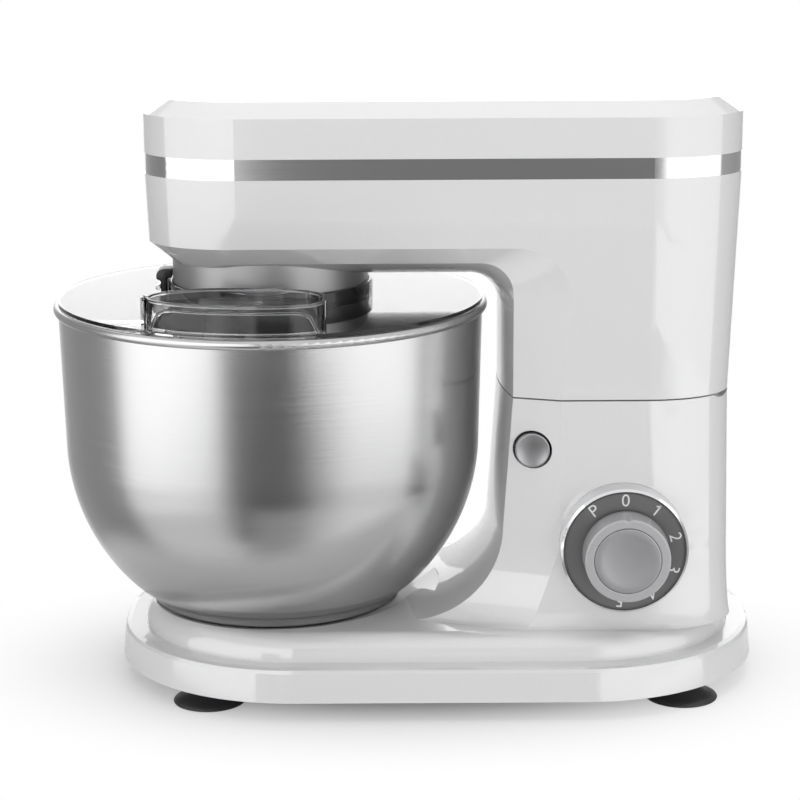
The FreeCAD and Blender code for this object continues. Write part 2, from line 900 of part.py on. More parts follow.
foot_height = "bowl_bottom - seat_floor - seat_gap"
foot_ring = sleeve("bowl_foot_ring", "foot_radius", "foot_radius - foot_width", foot_height)
lug = foot_ring.newObject("PartDesign::Pad", "bayonet_lug")
lug.Profile = drawn(
    foot_ring,
    "XY_Plane",
    [
        ("foot_radius - foot_width / 2", "-lug_width / 2"),
        ("foot_radius + lug_reach", "-lug_width / 2"),
        ("foot_radius + lug_reach", "lug_width / 2"),
        ("foot_radius - foot_width / 2", "lug_width / 2"),
    ],
)
lug.setExpression("Length", bound("lug_thick"))
keep(place(ring_of(foot_ring, lug), "bowl_x", "0", "seat_floor + seat_gap"), "bowl_foot_ring")

# Seat insert in the base: a shallow cup with three tabs that hold the lugs down
tab_low = "seat_plate + seat_gap + lug_thick + slide_gap"
seat = turned(
    "bowl_seat",
    [
        ("0", "0"),
        ("seat_radius - run_fit", "0"),
        ("seat_radius - run_fit", f"{tab_low} + tab_thick"),
        ("seat_radius - seat_wall", f"{tab_low} + tab_thick"),
        ("seat_radius - seat_wall", "seat_plate"),
        ("0", "seat_plate"),
    ],
)
tab = seat.newObject("PartDesign::Pad", "bayonet_tab")
tab_outer = "(seat_radius - seat_wall / 2)"
tab_inner = "(foot_radius + 2 * slide_gap)"
tab.Profile = drawn(
    seat,
    "XY_Plane",
    [
        (f"{tab_inner} * cos(tab_angle)", f"-{tab_inner} * sin(tab_angle)"),
        (f"{tab_outer} * cos(tab_angle)", f"-{tab_outer} * sin(tab_angle)", tab_outer),
        (f"{tab_outer} * cos(tab_angle)", f"{tab_outer} * sin(tab_angle)"),
        (f"{tab_inner} * cos(tab_angle)", f"{tab_inner} * sin(tab_angle)", f"-{tab_inner}"),
    ],
)
tab.Profile[0].setExpression("AttachmentOffset.Base.z", bound(tab_low))
tab.setExpression("Length", bound("tab_thick"))
keep(place(ring_of(seat, tab), "bowl_x", "0", "seat_floor - seat_plate"), "bowl_seat")

# Speed control: bezel ring, dial plate, switch behind it, and the knob on its spindle
bezel = turned(
    "knob_bezel",
    [
        ("dial_radius - bezel_step", "0"),
        ("bezel_radius", "0"),
        ("bezel_radius", "dial_face + bezel_proud - bezel_back - bezel_bevel"),
        ("bezel_radius - bezel_bevel", "dial_face + bezel_proud - bezel_back"),
        ("dial_radius + run_fit", "dial_face + bezel_proud - bezel_back"),
        ("dial_radius + run_fit", "dial_face - dial_thick - bezel_back"),
        ("dial_radius - bezel_step", "dial_face - dial_thick - bezel_back"),
    ],
)
keep(place(bezel, "knob_x", "-bezel_back", "knob_z", TO_NEAR_SIDE), "knob_bezel")
dial = sleeve("dial_plate", "dial_radius", "spindle_radius + slide_gap", "dial_thick")
keep(place(dial, "knob_x", "dial_thick - dial_face", "knob_z", TO_NEAR_SIDE), "dial_plate")
switch = sleeve("rotary_switch", "switch_radius", "spindle_radius + run_fit", "switch_length")
switch_y = "switch_length + dial_thick - dial_face"
keep(place(switch, "knob_x", switch_y, "knob_z", TO_NEAR_SIDE), "rotary_switch")
knob = turned(
    "speed_knob",
    [
        ("spindle_radius + run_fit", "0"),
        ("knob_radius", "0"),
        ("knob_radius - knob_taper", "knob_height - knob_round", "knob_round"),
        ("knob_radius - knob_taper - knob_round", "knob_height"),
        ("knob_cap_radius + run_fit", "knob_height"),
        ("knob_cap_radius + run_fit", "knob_height - knob_recess"),
        ("spindle_radius + run_fit", "knob_height - knob_recess"),
    ],
)
keep(place(knob, "knob_x", "-dial_face - knob_gap", "knob_z", TO_NEAR_SIDE), "speed_knob")
cap_dome = bulge_radius("knob_cap_radius", "(cap_crown - cap_edge)")
knob_cap = turned(
    "knob_cap",
    [("0", "0"), ("knob_cap_radius", "0"), ("knob_cap_radius", "cap_edge", cap_dome), ("0", "cap_crown")],
)
cap_y = "knob_recess - dial_face - knob_gap - knob_height"
keep(place(knob_cap, "knob_x", cap_y, "knob_z", TO_NEAR_SIDE), "knob_cap")
spindle_length = "switch_length + dial_thick + knob_gap + knob_height - knob_recess"
spindle = drum("switch_spindle", "spindle_radius", spindle_length)
place(spindle, "knob_x", switch_y, "knob_z", TO_NEAR_SIDE)
keep(spindle, "switch_spindle")

# Control board on its posts inside the column
board_low = "base_low + cover_thick + board_rise"
board = block("board", "board_length", "board_width", "board_thick")
board_parts = [place(board, "motor_x - board_length / 2", "-board_width / 2", board_low)]
for side in ("-", "+"):
    post_x = f"motor_x {side} (board_length / 2 - board_post_inset)"
    for post_y in ("board_width / 2 - board_post_inset", "board_post_inset - board_width / 2"):
        post = drum("board_post", "board_post", "board_rise + board_thick / 2")
        board_parts.append(place(post, post_x, post_y, "base_low + cover_thick"))
on_board = f"{board_low} + board_thick / 2"
capacitor = drum("capacitor", "capacitor_radius", "capacitor_height")
board_parts.append(place(capacitor, "motor_x + capacitor_x", "capacitor_radius", on_board))
relay = block("relay", "relay_length", "relay_width", "relay_height")
board_parts.append(place(relay, "motor_x + relay_x", "-relay_width / 2", on_board))
keep(fused("control_board", *board_parts), "control_board")

# Head release: dished button on a stem, latch arm, guide plate and return spring
button_hollow = bulge_radius("(button_radius - button_bevel)", "button_dish")
button = turned(
    "release_button",
    [
        ("0", "0"),
        ("stem_radius", "0"),
        ("stem_radius", "button_face - button_thick - stem_end"),
        ("button_radius", "button_face - button_thick - stem_end"),
        ("button_radius", "button_face - stem_end - button_bevel"),
        ("button_radius - button_bevel", "button_face - stem_end", f"-{button_hollow}"),
        ("0", "button_face - stem_end - button_dish"),
    ],
)
keep(place(button, "button_x", "-stem_end", "button_z", TO_NEAR_SIDE), "release_button")
guide = place(
    block("latch_guide_plate", "guide_length", "guide_thick", "guide_height"),
    "column_front + front_bow + base_wall",
    "-guide_face",
    "button_z - guide_height / 2",
)
guide_bore = drum("guide_bore", "stem_radius + run_fit", "2 * guide_thick")
place(guide_bore, "button_x", "1.5 * guide_thick - guide_face", "button_z", TO_NEAR_SIDE)
keep(cut(guide, guide_bore), "latch_guide")
latch_low = "(parting - catch_depth + latch_rise)"
latch_y = "(catch_width - catch_near + slide_gap)"
latch_rear = "(catch_offset + catch_length + latch_clear)"
riser_height = f"{latch_low} + latch_height - button_z + stem_radius"
latch_riser = place(
    block("latch_riser", f"{latch_rear} + latch_plate + stem_radius", "latch_plate", riser_height),
    "button_x - stem_radius",
    "-stem_end",
    "button_z - stem_radius",
)
latch_arm = place(
    block("latch_arm", "latch_plate", f"stem_end + {latch_y} + latch_plate", "latch_height"),
    f"button_x + {latch_rear}",
    "-stem_end",
    latch_low,
)
latch_tongue = place(
    block("latch_tongue", f"{latch_rear} - catch_offset + latch_plate", "latch_plate", "latch_height"),
    "button_x + catch_offset",
    latch_y,
    latch_low,
)
keep(fused("latch_bar", latch_riser, latch_arm, latch_tongue), "latch_bar")
catch_body = place(
    block("catch_body", "catch_length", "catch_width", "catch_depth"),
    "button_x + catch_offset",
    "-catch_near",
    "parting - catch_depth",
)
catch_notch = place(
    block("catch_notch", "catch_length", "notch_depth", "latch_height + 2 * slide_gap"),
    "button_x + catch_offset",
    "catch_width - notch_depth - catch_near",
    f"{latch_low} - slide_gap",
)
keep(cut(catch_body, catch_notch), "head_catch")

SPRING_TURNS = 4
TURN_ARCS = 4
ARC_ANGLE = 2 * math.pi / TURN_ARCS
spring_radius = size("spring_radius")
spring_wire = size("spring_wire")
spring_length = size("button_face - button_thick - guide_face - 2 * spring_wire - 2 * run_fit")


def spring_point(turn):
    """A point on the coil, at an angle along it."""
    climb = spring_length * turn / (2 * math.pi * SPRING_TURNS)
    return Vector(spring_radius * math.cos(turn), spring_radius * math.sin(turn), climb)


spring_arcs = []
for index in range(TURN_ARCS * SPRING_TURNS):
    angles = [ARC_ANGLE * (index + share) for share in (0, 0.5, 1)]
    spring_arcs.append(Part.Arc(*[spring_point(angle) for angle in angles]).toShape())
spring_pitch = spring_length / SPRING_TURNS
spring_heading = Vector(0, 2 * math.pi * spring_radius, spring_pitch)
spring_section = Part.Wire(Part.makeCircle(spring_wire, spring_point(0), spring_heading))
spring_shape = Part.Wire(spring_arcs).makePipeShell([spring_section], True, False)
spring_shape.rotate(Vector(), Vector(1, 0, 0), QUARTER_TURN)
spring_shape.translate(
    Vector(size("button_x"), -size("guide_face + spring_wire + run_fit"), size("button_z"))
)
shaped("button_spring", spring_shape)

# Hinge pin across the ears of the base
pin = drum("hinge_pin", "pin_radius", "2 * pin_half")
keep(place(pin, "hinge_x", "pin_half", "hinge_z", TO_NEAR_SIDE), "hinge_pin")

# Lower housing of the head: a drafted moulding with the arch over the bowl cut away
trim_low = size("trim_low")
head_draft = math.tan(math.radians(size("head_draft")))
crease_half = size("crease_half")
beam_low = size("beam_low")
crease_low = size("beam_low + beam_bow")
side_low = size("side_low")
crease_x = size("column_front + front_bow")
head_nose = size("head_nose")
head_half = size("head_half")


def head_section(z, inset=0):
    """Outline of the lower housing at a height, allowing for its draft."""
    return head_plan((trim_low - z) * head_draft + inset, z)


def arch_section(y):
    """Upright outline of the space under the beam and before the column, at a distance from the middle."""
    across = abs(y) / crease_half
    beyond = (abs(y) - crease_half) / size("bevel_run")
    if across <= 1:
        under = beam_low + size("beam_bow") * across**2
        front = size("column_front") + size("front_bow") * across**2
        radius = size("arch_radius") + size("crease_radius - arch_radius") * across**2
    else:
        under = crease_low + (side_low - crease_low) * beyond
        front = crease_x + size("bevel_run * bevel_slope") * beyond
        radius = size("crease_radius") + size("bevel_radius - crease_radius") * beyond
    far = head_nose - crease_half
    low = parting - crease_half
    knee = Vector(front - radius, y, under - radius)
    bend = radius * math.sqrt(0.5)
    outline = [
        Part.makeLine(Vector(far, y, under), Vector(front - radius, y, under)),
        Part.Arc(
            Vector(front - radius, y, under), knee + Vector(bend, 0, bend), Vector(front, y, under - radius)
        ).toShape(),
        Part.makeLine(Vector(front, y, under - radius), Vector(front, y, low)),
        Part.makeLine(Vector(front, y, low), Vector(far, y, low)),
        Part.makeLine(Vector(far, y, low), Vector(far, y, under)),
    ]
    return Part.Wire(outline)


head_shape = loft([head_section(parting), head_section(trim_low)])
ARCH_SHARES = (-1, -0.5, 0, 0.5, 1)
ARCH_PAST = 1.3
arch_middle = loft([arch_section(crease_half * share) for share in ARCH_SHARES], ruled=False)
arch_near = loft([arch_section(-ARCH_PAST * head_half), arch_section(-crease_half)])
arch_far = loft([arch_section(crease_half), arch_section(ARCH_PAST * head_half)])
head_shape = head_shape.cut(arch_near).cut(arch_middle).cut(arch_far)

# The bevel under the sides runs on round the nose
nose_bevel = size("nose_bevel")
bevel_drop = nose_bevel * (side_low - crease_low) / size("bevel_run")
nose_core = loft([head_section(side_low - bevel_drop, nose_bevel), head_section(side_low)])
nose_space = span_box(
    head_nose - head_half, bowl_x, -2 * head_half, 2 * head_half, beam_low - head_half, side_low
)
head_shape = head_shape.cut(nose_space.cut(nose_core))

# Hollows: the beam, the narrower floor of the beam, the motor bay and the rear pocket
head_wall = size("head_wall")
beam_floor = size("beam_floor")
bay_round = size("rear_turn") / 2
beam_room = loft([head_section(side_low + head_wall, head_wall), head_section(trim_low, head_wall)])
bay_rear = size("bay_rear")
bay_floor = size("bay_floor")
floor_half = crease_half - head_wall
floor_front = size("head_nose + nose_wall")
floor_plan = rounded_plan(floor_front, bay_rear, floor_half, bay_round, bay_round, beam_floor)
floor_room = prism(floor_plan, side_low + 2 * head_wall - beam_floor)
bay_plan = rounded_plan(size("bay_front"), bay_rear, size("bay_half"), bay_round, bay_round, bay_floor)
bay = prism(bay_plan, side_low + 2 * head_wall - bay_floor)
neck_hole = Part.makeCylinder(
    size("neck_radius + run_fit"), 2 * crease_half, Vector(bowl_x, 0, beam_floor - 2 * crease_half)
)
head_shape = head_shape.cut(beam_room).cut(floor_room).cut(bay).cut(neck_hole)

# Hinge: room for the ears, and a bore for the pin
for side in (-1, 1):
    low, high = sorted((side * (ear_inner - size("slide_gap")), side * (ear_outer + size("slide_gap"))))
    head_shape = head_shape.cut(cross_drum(size("swing_radius"), hinge_x, hinge_z, low, high))
head_bore = cross_drum(
    size("pin_radius + run_fit"), hinge_x, hinge_z, -size("pin_half + run_fit"), size("pin_half + run_fit")
)
head_shape = head_shape.cut(head_bore)
shaped("head_lower_housing", head_shape)

# Trim band between the two housings, and the top cover with its bevelled roof
trim_high = size("trim_high")
trim_inset = size("trim_inset")
trim_inner = trim_inset + size("trim_thick")
trim_shape = prism(head_plan(trim_inset, trim_low), trim_high - trim_low)
shaped("trim_band", trim_shape.cut(prism(head_plan(trim_inner, trim_low), trim_high - trim_low)))

side_top = size("side_top")
roof_top = side_top + size("roof_rise")
cover_wall = size("cover_wall")
cover_sides = loft([head_plan(0, trim_high), head_plan(0, side_top)])
cover_roof = loft([head_plan(0, side_top), head_plan(size("roof_run"), roof_top)])
cover_room = prism(head_plan(cover_wall, trim_high), side_top - trim_high - cover_wall)
roof_room = prism(head_plan(size("roof_run + cover_wall"), trim_high), roof_top - trim_high - cover_wall)
shaped("head_top_cover", cover_sides.fuse(cover_roof).cut([cover_room, roof_room]))

# Neck ring under the beam, and the splash guard that hangs on it
neck = turned(
    "neck_ring",
    [
        ("neck_radius - neck_wall", "0"),
        ("neck_radius - neck_bevel", "0"),
        ("neck_radius", "neck_bevel"),
        ("neck_radius", "beam_floor - neck_low"),
        ("neck_radius - neck_wall", "beam_floor - neck_low"),
    ],
)
keep(place(neck, "bowl_x", "0", "neck_low"), "neck_ring")

guard_low = size("guard_low")
guard_thick = size("guard_thick")
guard_bore = size("guard_bore")


def upright_ring(outer, inner, low, high):
    """A ring about the axis of the bowl."""
    solid = Part.makeCylinder(outer, high - low, Vector(bowl_x, 0, low))
    return solid.cut(Part.makeCylinder(inner, high - low, Vector(bowl_x, 0, low)))


def chute_plan(inset):
    """Outline of the feed chute: arched front, straight sides and a narrower back."""
    middle = size("chute_x")
    half = size("chute_half") - inset
    back_half = size("chute_back_half") - inset / 2
    front = size("chute_radius") - inset
    corner = size("chute_round") - inset

    def on_front(x):
        return Vector(x, -math.sqrt(front**2 - (x - bowl_x) ** 2), guard_low)

    near_left = on_front(middle - half)
    near_right = on_front(middle + half)
    rise = Vector(0, corner, 0)
    front_left = on_front(middle - half + corner)
    front_right = on_front(middle + half - corner)
    back = -size("chute_back") - inset
    waist = -size("chute_waist") - inset / 2
    stops = [
        near_right + rise,
        Vector(middle + half, waist, guard_low),
        Vector(middle + back_half, back, guard_low),
        Vector(middle - back_half, back, guard_low),
        Vector(middle - half, waist, guard_low),
        near_left + rise,
    ]
    edges = [Part.makeLine(here, there) for here, there in zip(stops, stops[1:])]
    edges.append(corner_curve(near_left + rise, near_left, front_left))
    edges.append(Part.Arc(front_left, on_front(middle), front_right).toShape())
    edges.append(corner_curve(front_right, near_right, near_right + rise))
    return Part.Wire(edges)


flange = upright_ring(size("rim_radius"), guard_bore, guard_low, guard_low + guard_thick)
collar = upright_ring(guard_bore + guard_thick, guard_bore, guard_low, guard_low + size("collar_height"))
chute_height = size("chute_top") - guard_low
chute = prism(chute_plan(0), chute_height)
chute_space = prism(chute_plan(guard_thick), chute_height)
shaped("splash_guard", flange.fuse(collar).fuse(chute).cut(chute_space))

clip_inner = "(guard_bore + guard_thick + slide_gap)"
clip_seat = "(guard_low + collar_height + slide_gap)"
clip = plate(
    "guard_clip",
    "XZ_Plane",
    [
        ("-neck_radius - slide_gap", clip_seat),
        ("-neck_radius - slide_gap", "clip_top"),
        ("-neck_radius - clip_reach / 2", "clip_top"),
        ("-neck_radius - clip_reach", "clip_top - clip_reach / 2"),
        ("-neck_radius - clip_reach", "guard_low + guard_thick + slide_gap"),
        (f"-{clip_inner}", "guard_low + guard_thick + slide_gap"),
        (f"-{clip_inner}", clip_seat),
    ],
    "clip_width",
    both_ways=True,
)
keep(place(clip, "bowl_x"), "guard_clip")

# Gears
JACK_X = f"(bowl_x + gear_module * {(MAIN_TEETH + PINION_TEETH) / 2})"
ORBIT = f"(ring_module * {(RING_TEETH - PLANET_TEETH) / 2})"
TOOL_X = f"(bowl_x - {ORBIT})"


def toothed(teeth, module, width, outwards=True):
    """A toothed disc about the upright axis: straight-flanked teeth with working backlash."""
    pitch = module * teeth / 2
    sign = 1 if outwards else -1
    tip = pitch + sign * TIP_SHARE * module
    root = pitch - sign * ROOT_SHARE * module
    corners = []
    for tooth in range(teeth):
        for radius, share in ((root, -ROOT_WIDTH), (tip, -TIP_WIDTH), (tip, TIP_WIDTH), (root, ROOT_WIDTH)):
            angle = (2 * tooth + share) * math.pi / teeth
            corners.append(Vector(radius * math.cos(angle), radius * math.sin(angle), 0))
    return prism(Part.makePolygon(corners + corners[:1]), width)


def bored_gear(label, teeth, module, width, bore, x, z, turn=0):
    """A gear on its shaft."""
    shape = toothed(teeth, module, width).cut(Part.makeCylinder(bore, width))
    shape.rotate(Vector(), Vector(0, 0, 1), turn)
    shape.translate(Vector(size(x), 0, size(z)))
    shaped(label, shape)


main_bore = size("main_radius + run_fit")
jack_bore = size("jack_radius + run_fit")
planet_bore = size("planet_radius + run_fit")
gear_module = size("gear_module")
ring_module = size("ring_module")
gear_width = size("gear_width")
ring_width = size("ring_width")
bored_gear("main_gear", MAIN_TEETH, gear_module, gear_width, main_bore, "bowl_x", "main_gear_low")
half_tooth = HALF_TURN / PINION_TEETH
bored_gear("pinion", PINION_TEETH, gear_module, gear_width, jack_bore, JACK_X, "main_gear_low", half_tooth)
planet_width = size("ring_width - 2 * planet_gap")
planet_low = "ring_low + planet_gap"
half_tooth = HALF_TURN / PLANET_TEETH
bored_gear(
    "planet_gear", PLANET_TEETH, ring_module, planet_width, planet_bore, TOOL_X, planet_low, half_tooth
)
ring_shape = Part.makeCylinder(size("neck_radius - neck_wall - run_fit"), ring_width)
ring_shape = ring_shape.cut(toothed(RING_TEETH, ring_module, ring_width, outwards=False))
ring_shape.translate(Vector(bowl_x, 0, size("ring_low")))
shaped("ring_gear", ring_shape)

# Shafts, carrier and bearings of the gearbox
main_shaft = drum("main_shaft", "main_radius", "upper_plate + plate_thick + shaft_end - carrier_low")
keep(place(main_shaft, "bowl_x", "0", "carrier_low"), "main_shaft")
carrier = turned(
    "carrier_disc",
    [
        ("main_radius + run_fit", "0"),
        ("carrier_radius - carrier_bevel", "0"),
        ("carrier_radius", "carrier_bevel"),
        ("carrier_radius", "carrier_thick"),
        ("main_radius + hub_wall", "carrier_thick"),
        ("main_radius + hub_wall", "ring_low + ring_width - carrier_low"),
        ("main_radius + run_fit", "ring_low + ring_width - carrier_low"),
    ],
)
place(carrier, "bowl_x", "0", "carrier_low")
planet_hole = drum("planet_hole", "planet_radius + run_fit", "carrier_thick")
keep(cut(carrier, place(planet_hole, TOOL_X, "0", "carrier_low")), "planet_carrier")
planet_shaft = drum("planet_shaft", "planet_radius", "ring_low + ring_width + shaft_end - beater_top")
keep(place(planet_shaft, TOOL_X, "0", "beater_top"), "planet_shaft")
jack_low = "beam_floor + jack_floor + jack_end_gap"
jackshaft = drum("jackshaft", "jack_radius", f"pulley_low + pulley_width + shaft_end - ({jack_low})")
keep(place(jackshaft, JACK_X, "0", jack_low), "jackshaft")


def bearing(name, shaft, outer, height, x, z):
    """A plain bearing bush with a running fit on its shaft."""
    return place(sleeve(name, outer, f"{shaft} + run_fit", height), x, "0", z)


main_seat = "beam_floor + gearbox_floor"
main_lower = bearing("main_lower", "main_radius", "main_bearing", "lower_bearing", "bowl_x", main_seat)
main_upper = bearing("main_upper", "main_radius", "main_bearing", "plate_thick", "bowl_x", "upper_plate")
group("main_bearings", [main_lower, main_upper])
jack_seat = "beam_floor + jack_floor"
jack_height = "plate_thick - jack_floor"
jack_lower = bearing("jack_lower", "jack_radius", "small_bearing", jack_height, JACK_X, jack_seat)
jack_upper = bearing("jack_upper", "jack_radius", "small_bearing", "plate_thick", JACK_X, "upper_plate")
group("jackshaft_bearings", [jack_lower, jack_upper])
rotor_seat = "bay_floor + bearing_rise"
rotor = "motor_shaft_radius"
motor_lower = bearing("motor_lower", rotor, "small_bearing", "bearing_height", "motor_x", rotor_seat)
motor_upper = bearing("motor_upper", rotor, "small_bearing", "plate_thick", "motor_x", "motor_top")
group("motor_bearings", [motor_lower, motor_upper])

# Gearbox: lower plate with a bearing boss and four pillars, and an upper plate
fit = size("run_fit")
plate_thick = size("plate_thick")
upper_plate = size("upper_plate")
main_bearing = size("main_bearing") + fit
small_bearing = size("small_bearing") + fit
jack_x = size(JACK_X)
plate_front = floor_front + fit
plate_rear = jack_x + 2 * small_bearing
plate_half = crease_half - head_wall - fit


def gearbox_plate(z):
    """A plate that carries the bearings of the main shaft and the jackshaft."""
    return prism(rounded_plan(plate_front, plate_rear, plate_half, bay_round, bay_round, z), plate_thick)


gearbox = gearbox_plate(beam_floor)
gearbox_foot = Vector(bowl_x, 0, beam_floor)
gearbox_boss = Part.makeCylinder(main_bearing + head_wall, size("gearbox_boss"), gearbox_foot)
gearbox = gearbox.fuse(gearbox_boss)
pillar_reach = plate_half - bay_round / 2
for x in (plate_front + bay_round, plate_rear - bay_round):
    for y in (-pillar_reach, pillar_reach):
        foot = Vector(x, y, beam_floor)
        gearbox = gearbox.fuse(Part.makeCylinder(size("pillar_radius"), upper_plate - beam_floor, foot))
boss_height = size("gearbox_boss")
main_pocket = Part.makeCylinder(main_bearing, boss_height, Vector(bowl_x, 0, size(main_seat)))
shaft_hole = Part.makeCylinder(size("main_radius + shaft_clear"), boss_height, Vector(bowl_x, 0, beam_floor))
jack_pocket = Part.makeCylinder(small_bearing, plate_thick, Vector(jack_x, 0, size(jack_seat)))
gearbox = gearbox.cut([main_pocket, shaft_hole, jack_pocket])
shaped("gearbox_housing", gearbox)
gearbox_top = gearbox_plate(upper_plate)
for radius, x in ((main_bearing, bowl_x), (small_bearing, jack_x)):
    gearbox_top = gearbox_top.cut(Part.makeCylinder(radius, plate_thick, Vector(x, 0, upper_plate)))
shaped("gearbox_cover", gearbox_top)

# Pulleys and the flat belt between them


def pulley(label, radius, bore, x):
    """A flanged pulley on its shaft."""
    body = turned(
        label,
        [
            (f"{bore} + run_fit", "0"),
            (f"{radius} + pulley_flange", "0"),
            (f"{radius} + pulley_flange", "flange_edge"),
            (radius, "flange_foot"),
            (radius, "pulley_width - flange_foot"),
            (f"{radius} + pulley_flange", "pulley_width - flange_edge"),
            (f"{radius} + pulley_flange", "pulley_width"),
            (f"{bore} + run_fit", "pulley_width"),
        ],
    )
    keep(place(body, x, "0", "pulley_low"), label)


pulley("driven_pulley", "driven_radius", "jack_radius", JACK_X)
pulley("motor_pulley", "motor_pulley_radius", "motor_shaft_radius", "motor_x")

motor_x = size("motor_x")
belt_low = size("pulley_low + (pulley_width - belt_width) / 2")


def belt_loop(grow):
    """Outline of the belt round both pulleys, a distance outside their faces."""
    large = size("driven_radius") + grow
    small = size("motor_pulley_radius") + grow
    lean = math.acos((large - small) / (motor_x - jack_x))
    tangent = Vector(math.cos(lean), math.sin(lean), 0)
    mirrored = Vector(tangent.x, -tangent.y, 0)
    ahead = Vector(1, 0, 0)
    left = Vector(jack_x, 0, belt_low)
    right = Vector(motor_x, 0, belt_low)
    return Part.Wire(
        [
            Part.makeLine(left + mirrored * large, right + mirrored * small),
            Part.Arc(right + mirrored * small, right + ahead * small, right + tangent * small).toShape(),
            Part.makeLine(right + tangent * small, left + tangent * large),
            Part.Arc(left + tangent * large, left - ahead * large, left + mirrored * large).toShape(),
        ]
    )


belt_gap = size("belt_gap")
belt_shape = prism(belt_loop(belt_gap + size("belt_thick")), size("belt_width"))
shaped("drive_belt", belt_shape.cut(prism(belt_loop(belt_gap), size("belt_width"))))

# Motor: stator stack, frame with posts and brush holders, and the armature on its shaft
stator = place(
    block("stator_stack", "2 * stator_half", "2 * stator_half", "stator_height"),
    "motor_x - stator_half",
    "-stator_half",
    "stator_low",
)
stator_bore = drum("stator_bore", "armature_radius + air_gap", "stator_height")
keep(cut(stator, place(stator_bore, "motor_x", "0", "stator_low")), "motor_stator")
frame_pieces = []
for z, thick in (("bay_floor", "motor_plate"), ("motor_top", "plate_thick")):
    frame_plate = block("frame_plate", "2 * frame_half", "frame_width", thick)
    frame_pieces.append(place(frame_plate, "motor_x - frame_half", "-frame_width / 2", z))
for x in ("motor_x - post_x", "motor_x + post_x"):
    for y in ("-post_y", "post_y"):
        frame_post = drum("frame_post", "frame_post", "motor_top - bay_floor - motor_plate / 2")
        frame_pieces.append(place(frame_post, x, y, "bay_floor + motor_plate / 2"))
for x in ("motor_x - holder_x - holder_length", "motor_x + holder_x"):
    holder = block("brush_holder", "holder_length", "holder_width", "brush_rise - motor_plate / 2")
    frame_pieces.append(place(holder, x, "-holder_width / 2", "bay_floor + motor_plate / 2"))
frame_boss = drum("frame_boss", "small_bearing + run_fit + boss_wall", "boss_height")
frame_pieces.append(place(frame_boss, "motor_x", "0", "bay_floor"))
frame = fused("motor_frame_solid", *frame_pieces)
lower_pocket = drum("lower_pocket", "small_bearing + run_fit", "boss_height")
place(lower_pocket, "motor_x", "0", "bay_floor + bearing_rise")
upper_pocket = drum("upper_pocket", "small_bearing + run_fit", "2 * plate_thick")
place(upper_pocket, "motor_x", "0", "motor_top - plate_thick / 2")
keep(cut(frame, lower_pocket, upper_pocket), "motor_frame")
brush_length = "holder_x - commutator_radius - slide_gap"
brush_spots = ("motor_x - holder_x", "motor_x + commutator_radius + slide_gap")
brushes = []
for x in brush_spots:
    brush = block("brush", brush_length, "brush_side", "brush_side")
    brushes.append(place(brush, x, "-brush_side / 2", "brush_top - brush_drop"))
group("motor_brushes", brushes)
rotor_low = "bay_floor + bearing_rise + shaft_gap"
rotor_length = f"pulley_low + pulley_width + shaft_end - ({rotor_low})"
motor_shaft = drum("motor_shaft", "motor_shaft_radius", rotor_length)
keep(place(motor_shaft, "motor_x", "0", rotor_low), "motor_shaft")
armature = sleeve("armature_core", "armature_radius", "motor_shaft_radius + run_fit", "stator_height")
keep(place(armature, "motor_x", "0", "stator_low"), "armature_core")
commutator = sleeve("commutator", "commutator_radius", "motor_shaft_radius + run_fit", "commutator_height")
keep(place(commutator, "motor_x", "0", "brush_top - commutator_drop"), "commutator")
fan_low = "stator_low + stator_height + fan_gap"
fan_hub = sleeve("fan_hub", "fan_hub", "motor_shaft_radius + run_fit", "fan_height")
fan_pieces = [place(fan_hub, "motor_x", "0", fan_low)]
FAN_BLADES = 8
blade_start = "(fan_hub - fan_blade)"
for index in range(FAN_BLADES):
    angle = 2 * HALF_TURN * index / FAN_BLADES
    blade = block("fan_blade", f"fan_radius - {blade_start}", "fan_blade", "fan_height")
    blade_x = f"motor_x + {blade_start} * cos({angle}) + fan_blade / 2 * sin({angle})"
    blade_y = f"{blade_start} * sin({angle}) - fan_blade / 2 * cos({angle})"
    fan_pieces.append(place(blade, blade_x, blade_y, fan_low, Rotation(Vector(0, 0, 1), angle)))
keep(fused("cooling_fan", *fan_pieces), "cooling_fan")

# Flat beater: a cast frame with a middle bar, on a socket that takes the planet shaft
beater_outer = plate(
    "beater_frame",
    "XZ_Plane",
    [
        ("beater_bar", "beater_top"),
        ("beater_half", "beater_top - beater_shoulder"),
        ("beater_half", "beater_top - beater_waist", "-beater_curve"),
        ("beater_foot", "beater_low"),
        ("-beater_foot", "beater_low", "-beater_curve"),
        ("-beater_half", "beater_top - beater_waist"),
        ("-beater_half", "beater_top - beater_shoulder"),
        ("-beater_bar", "beater_top"),
    ],
    "beater_thick",
    both_ways=True,
)
place(beater_outer, TOOL_X)
beater_windows = []
for side in ("", "-"):
    bend = "-window_curve" if side == "" else "window_curve"
    window = plate(
        "beater_window",
        "XZ_Plane",
        [
            (f"{side}beater_bar / 2", "beater_top - window_top"),
            (f"{side}(beater_half - beater_bar)", "beater_top - window_shoulder"),
            (f"{side}(beater_half - beater_bar)", "beater_top - beater_waist", bend),
            (f"{side}window_foot", "beater_low + beater_bar"),
            (f"{side}beater_bar / 2", "beater_low + beater_bar"),
        ],
        "beater_thick * 2",
        both_ways=True,
    )
    beater_windows.append(place(window, TOOL_X))
beater_socket = drum("beater_socket", "planet_radius + socket_wall", "beater_neck")
place(beater_socket, TOOL_X, "0", "beater_top - beater_sink")
socket_bore = drum("socket_bore", "planet_radius + run_fit", "beater_neck")
place(socket_bore, TOOL_X, "0", "beater_top")
beater_frame = cut(beater_outer, *beater_windows)
keep(cut(fused("beater_solid", beater_frame, beater_socket), socket_bore), "beater")

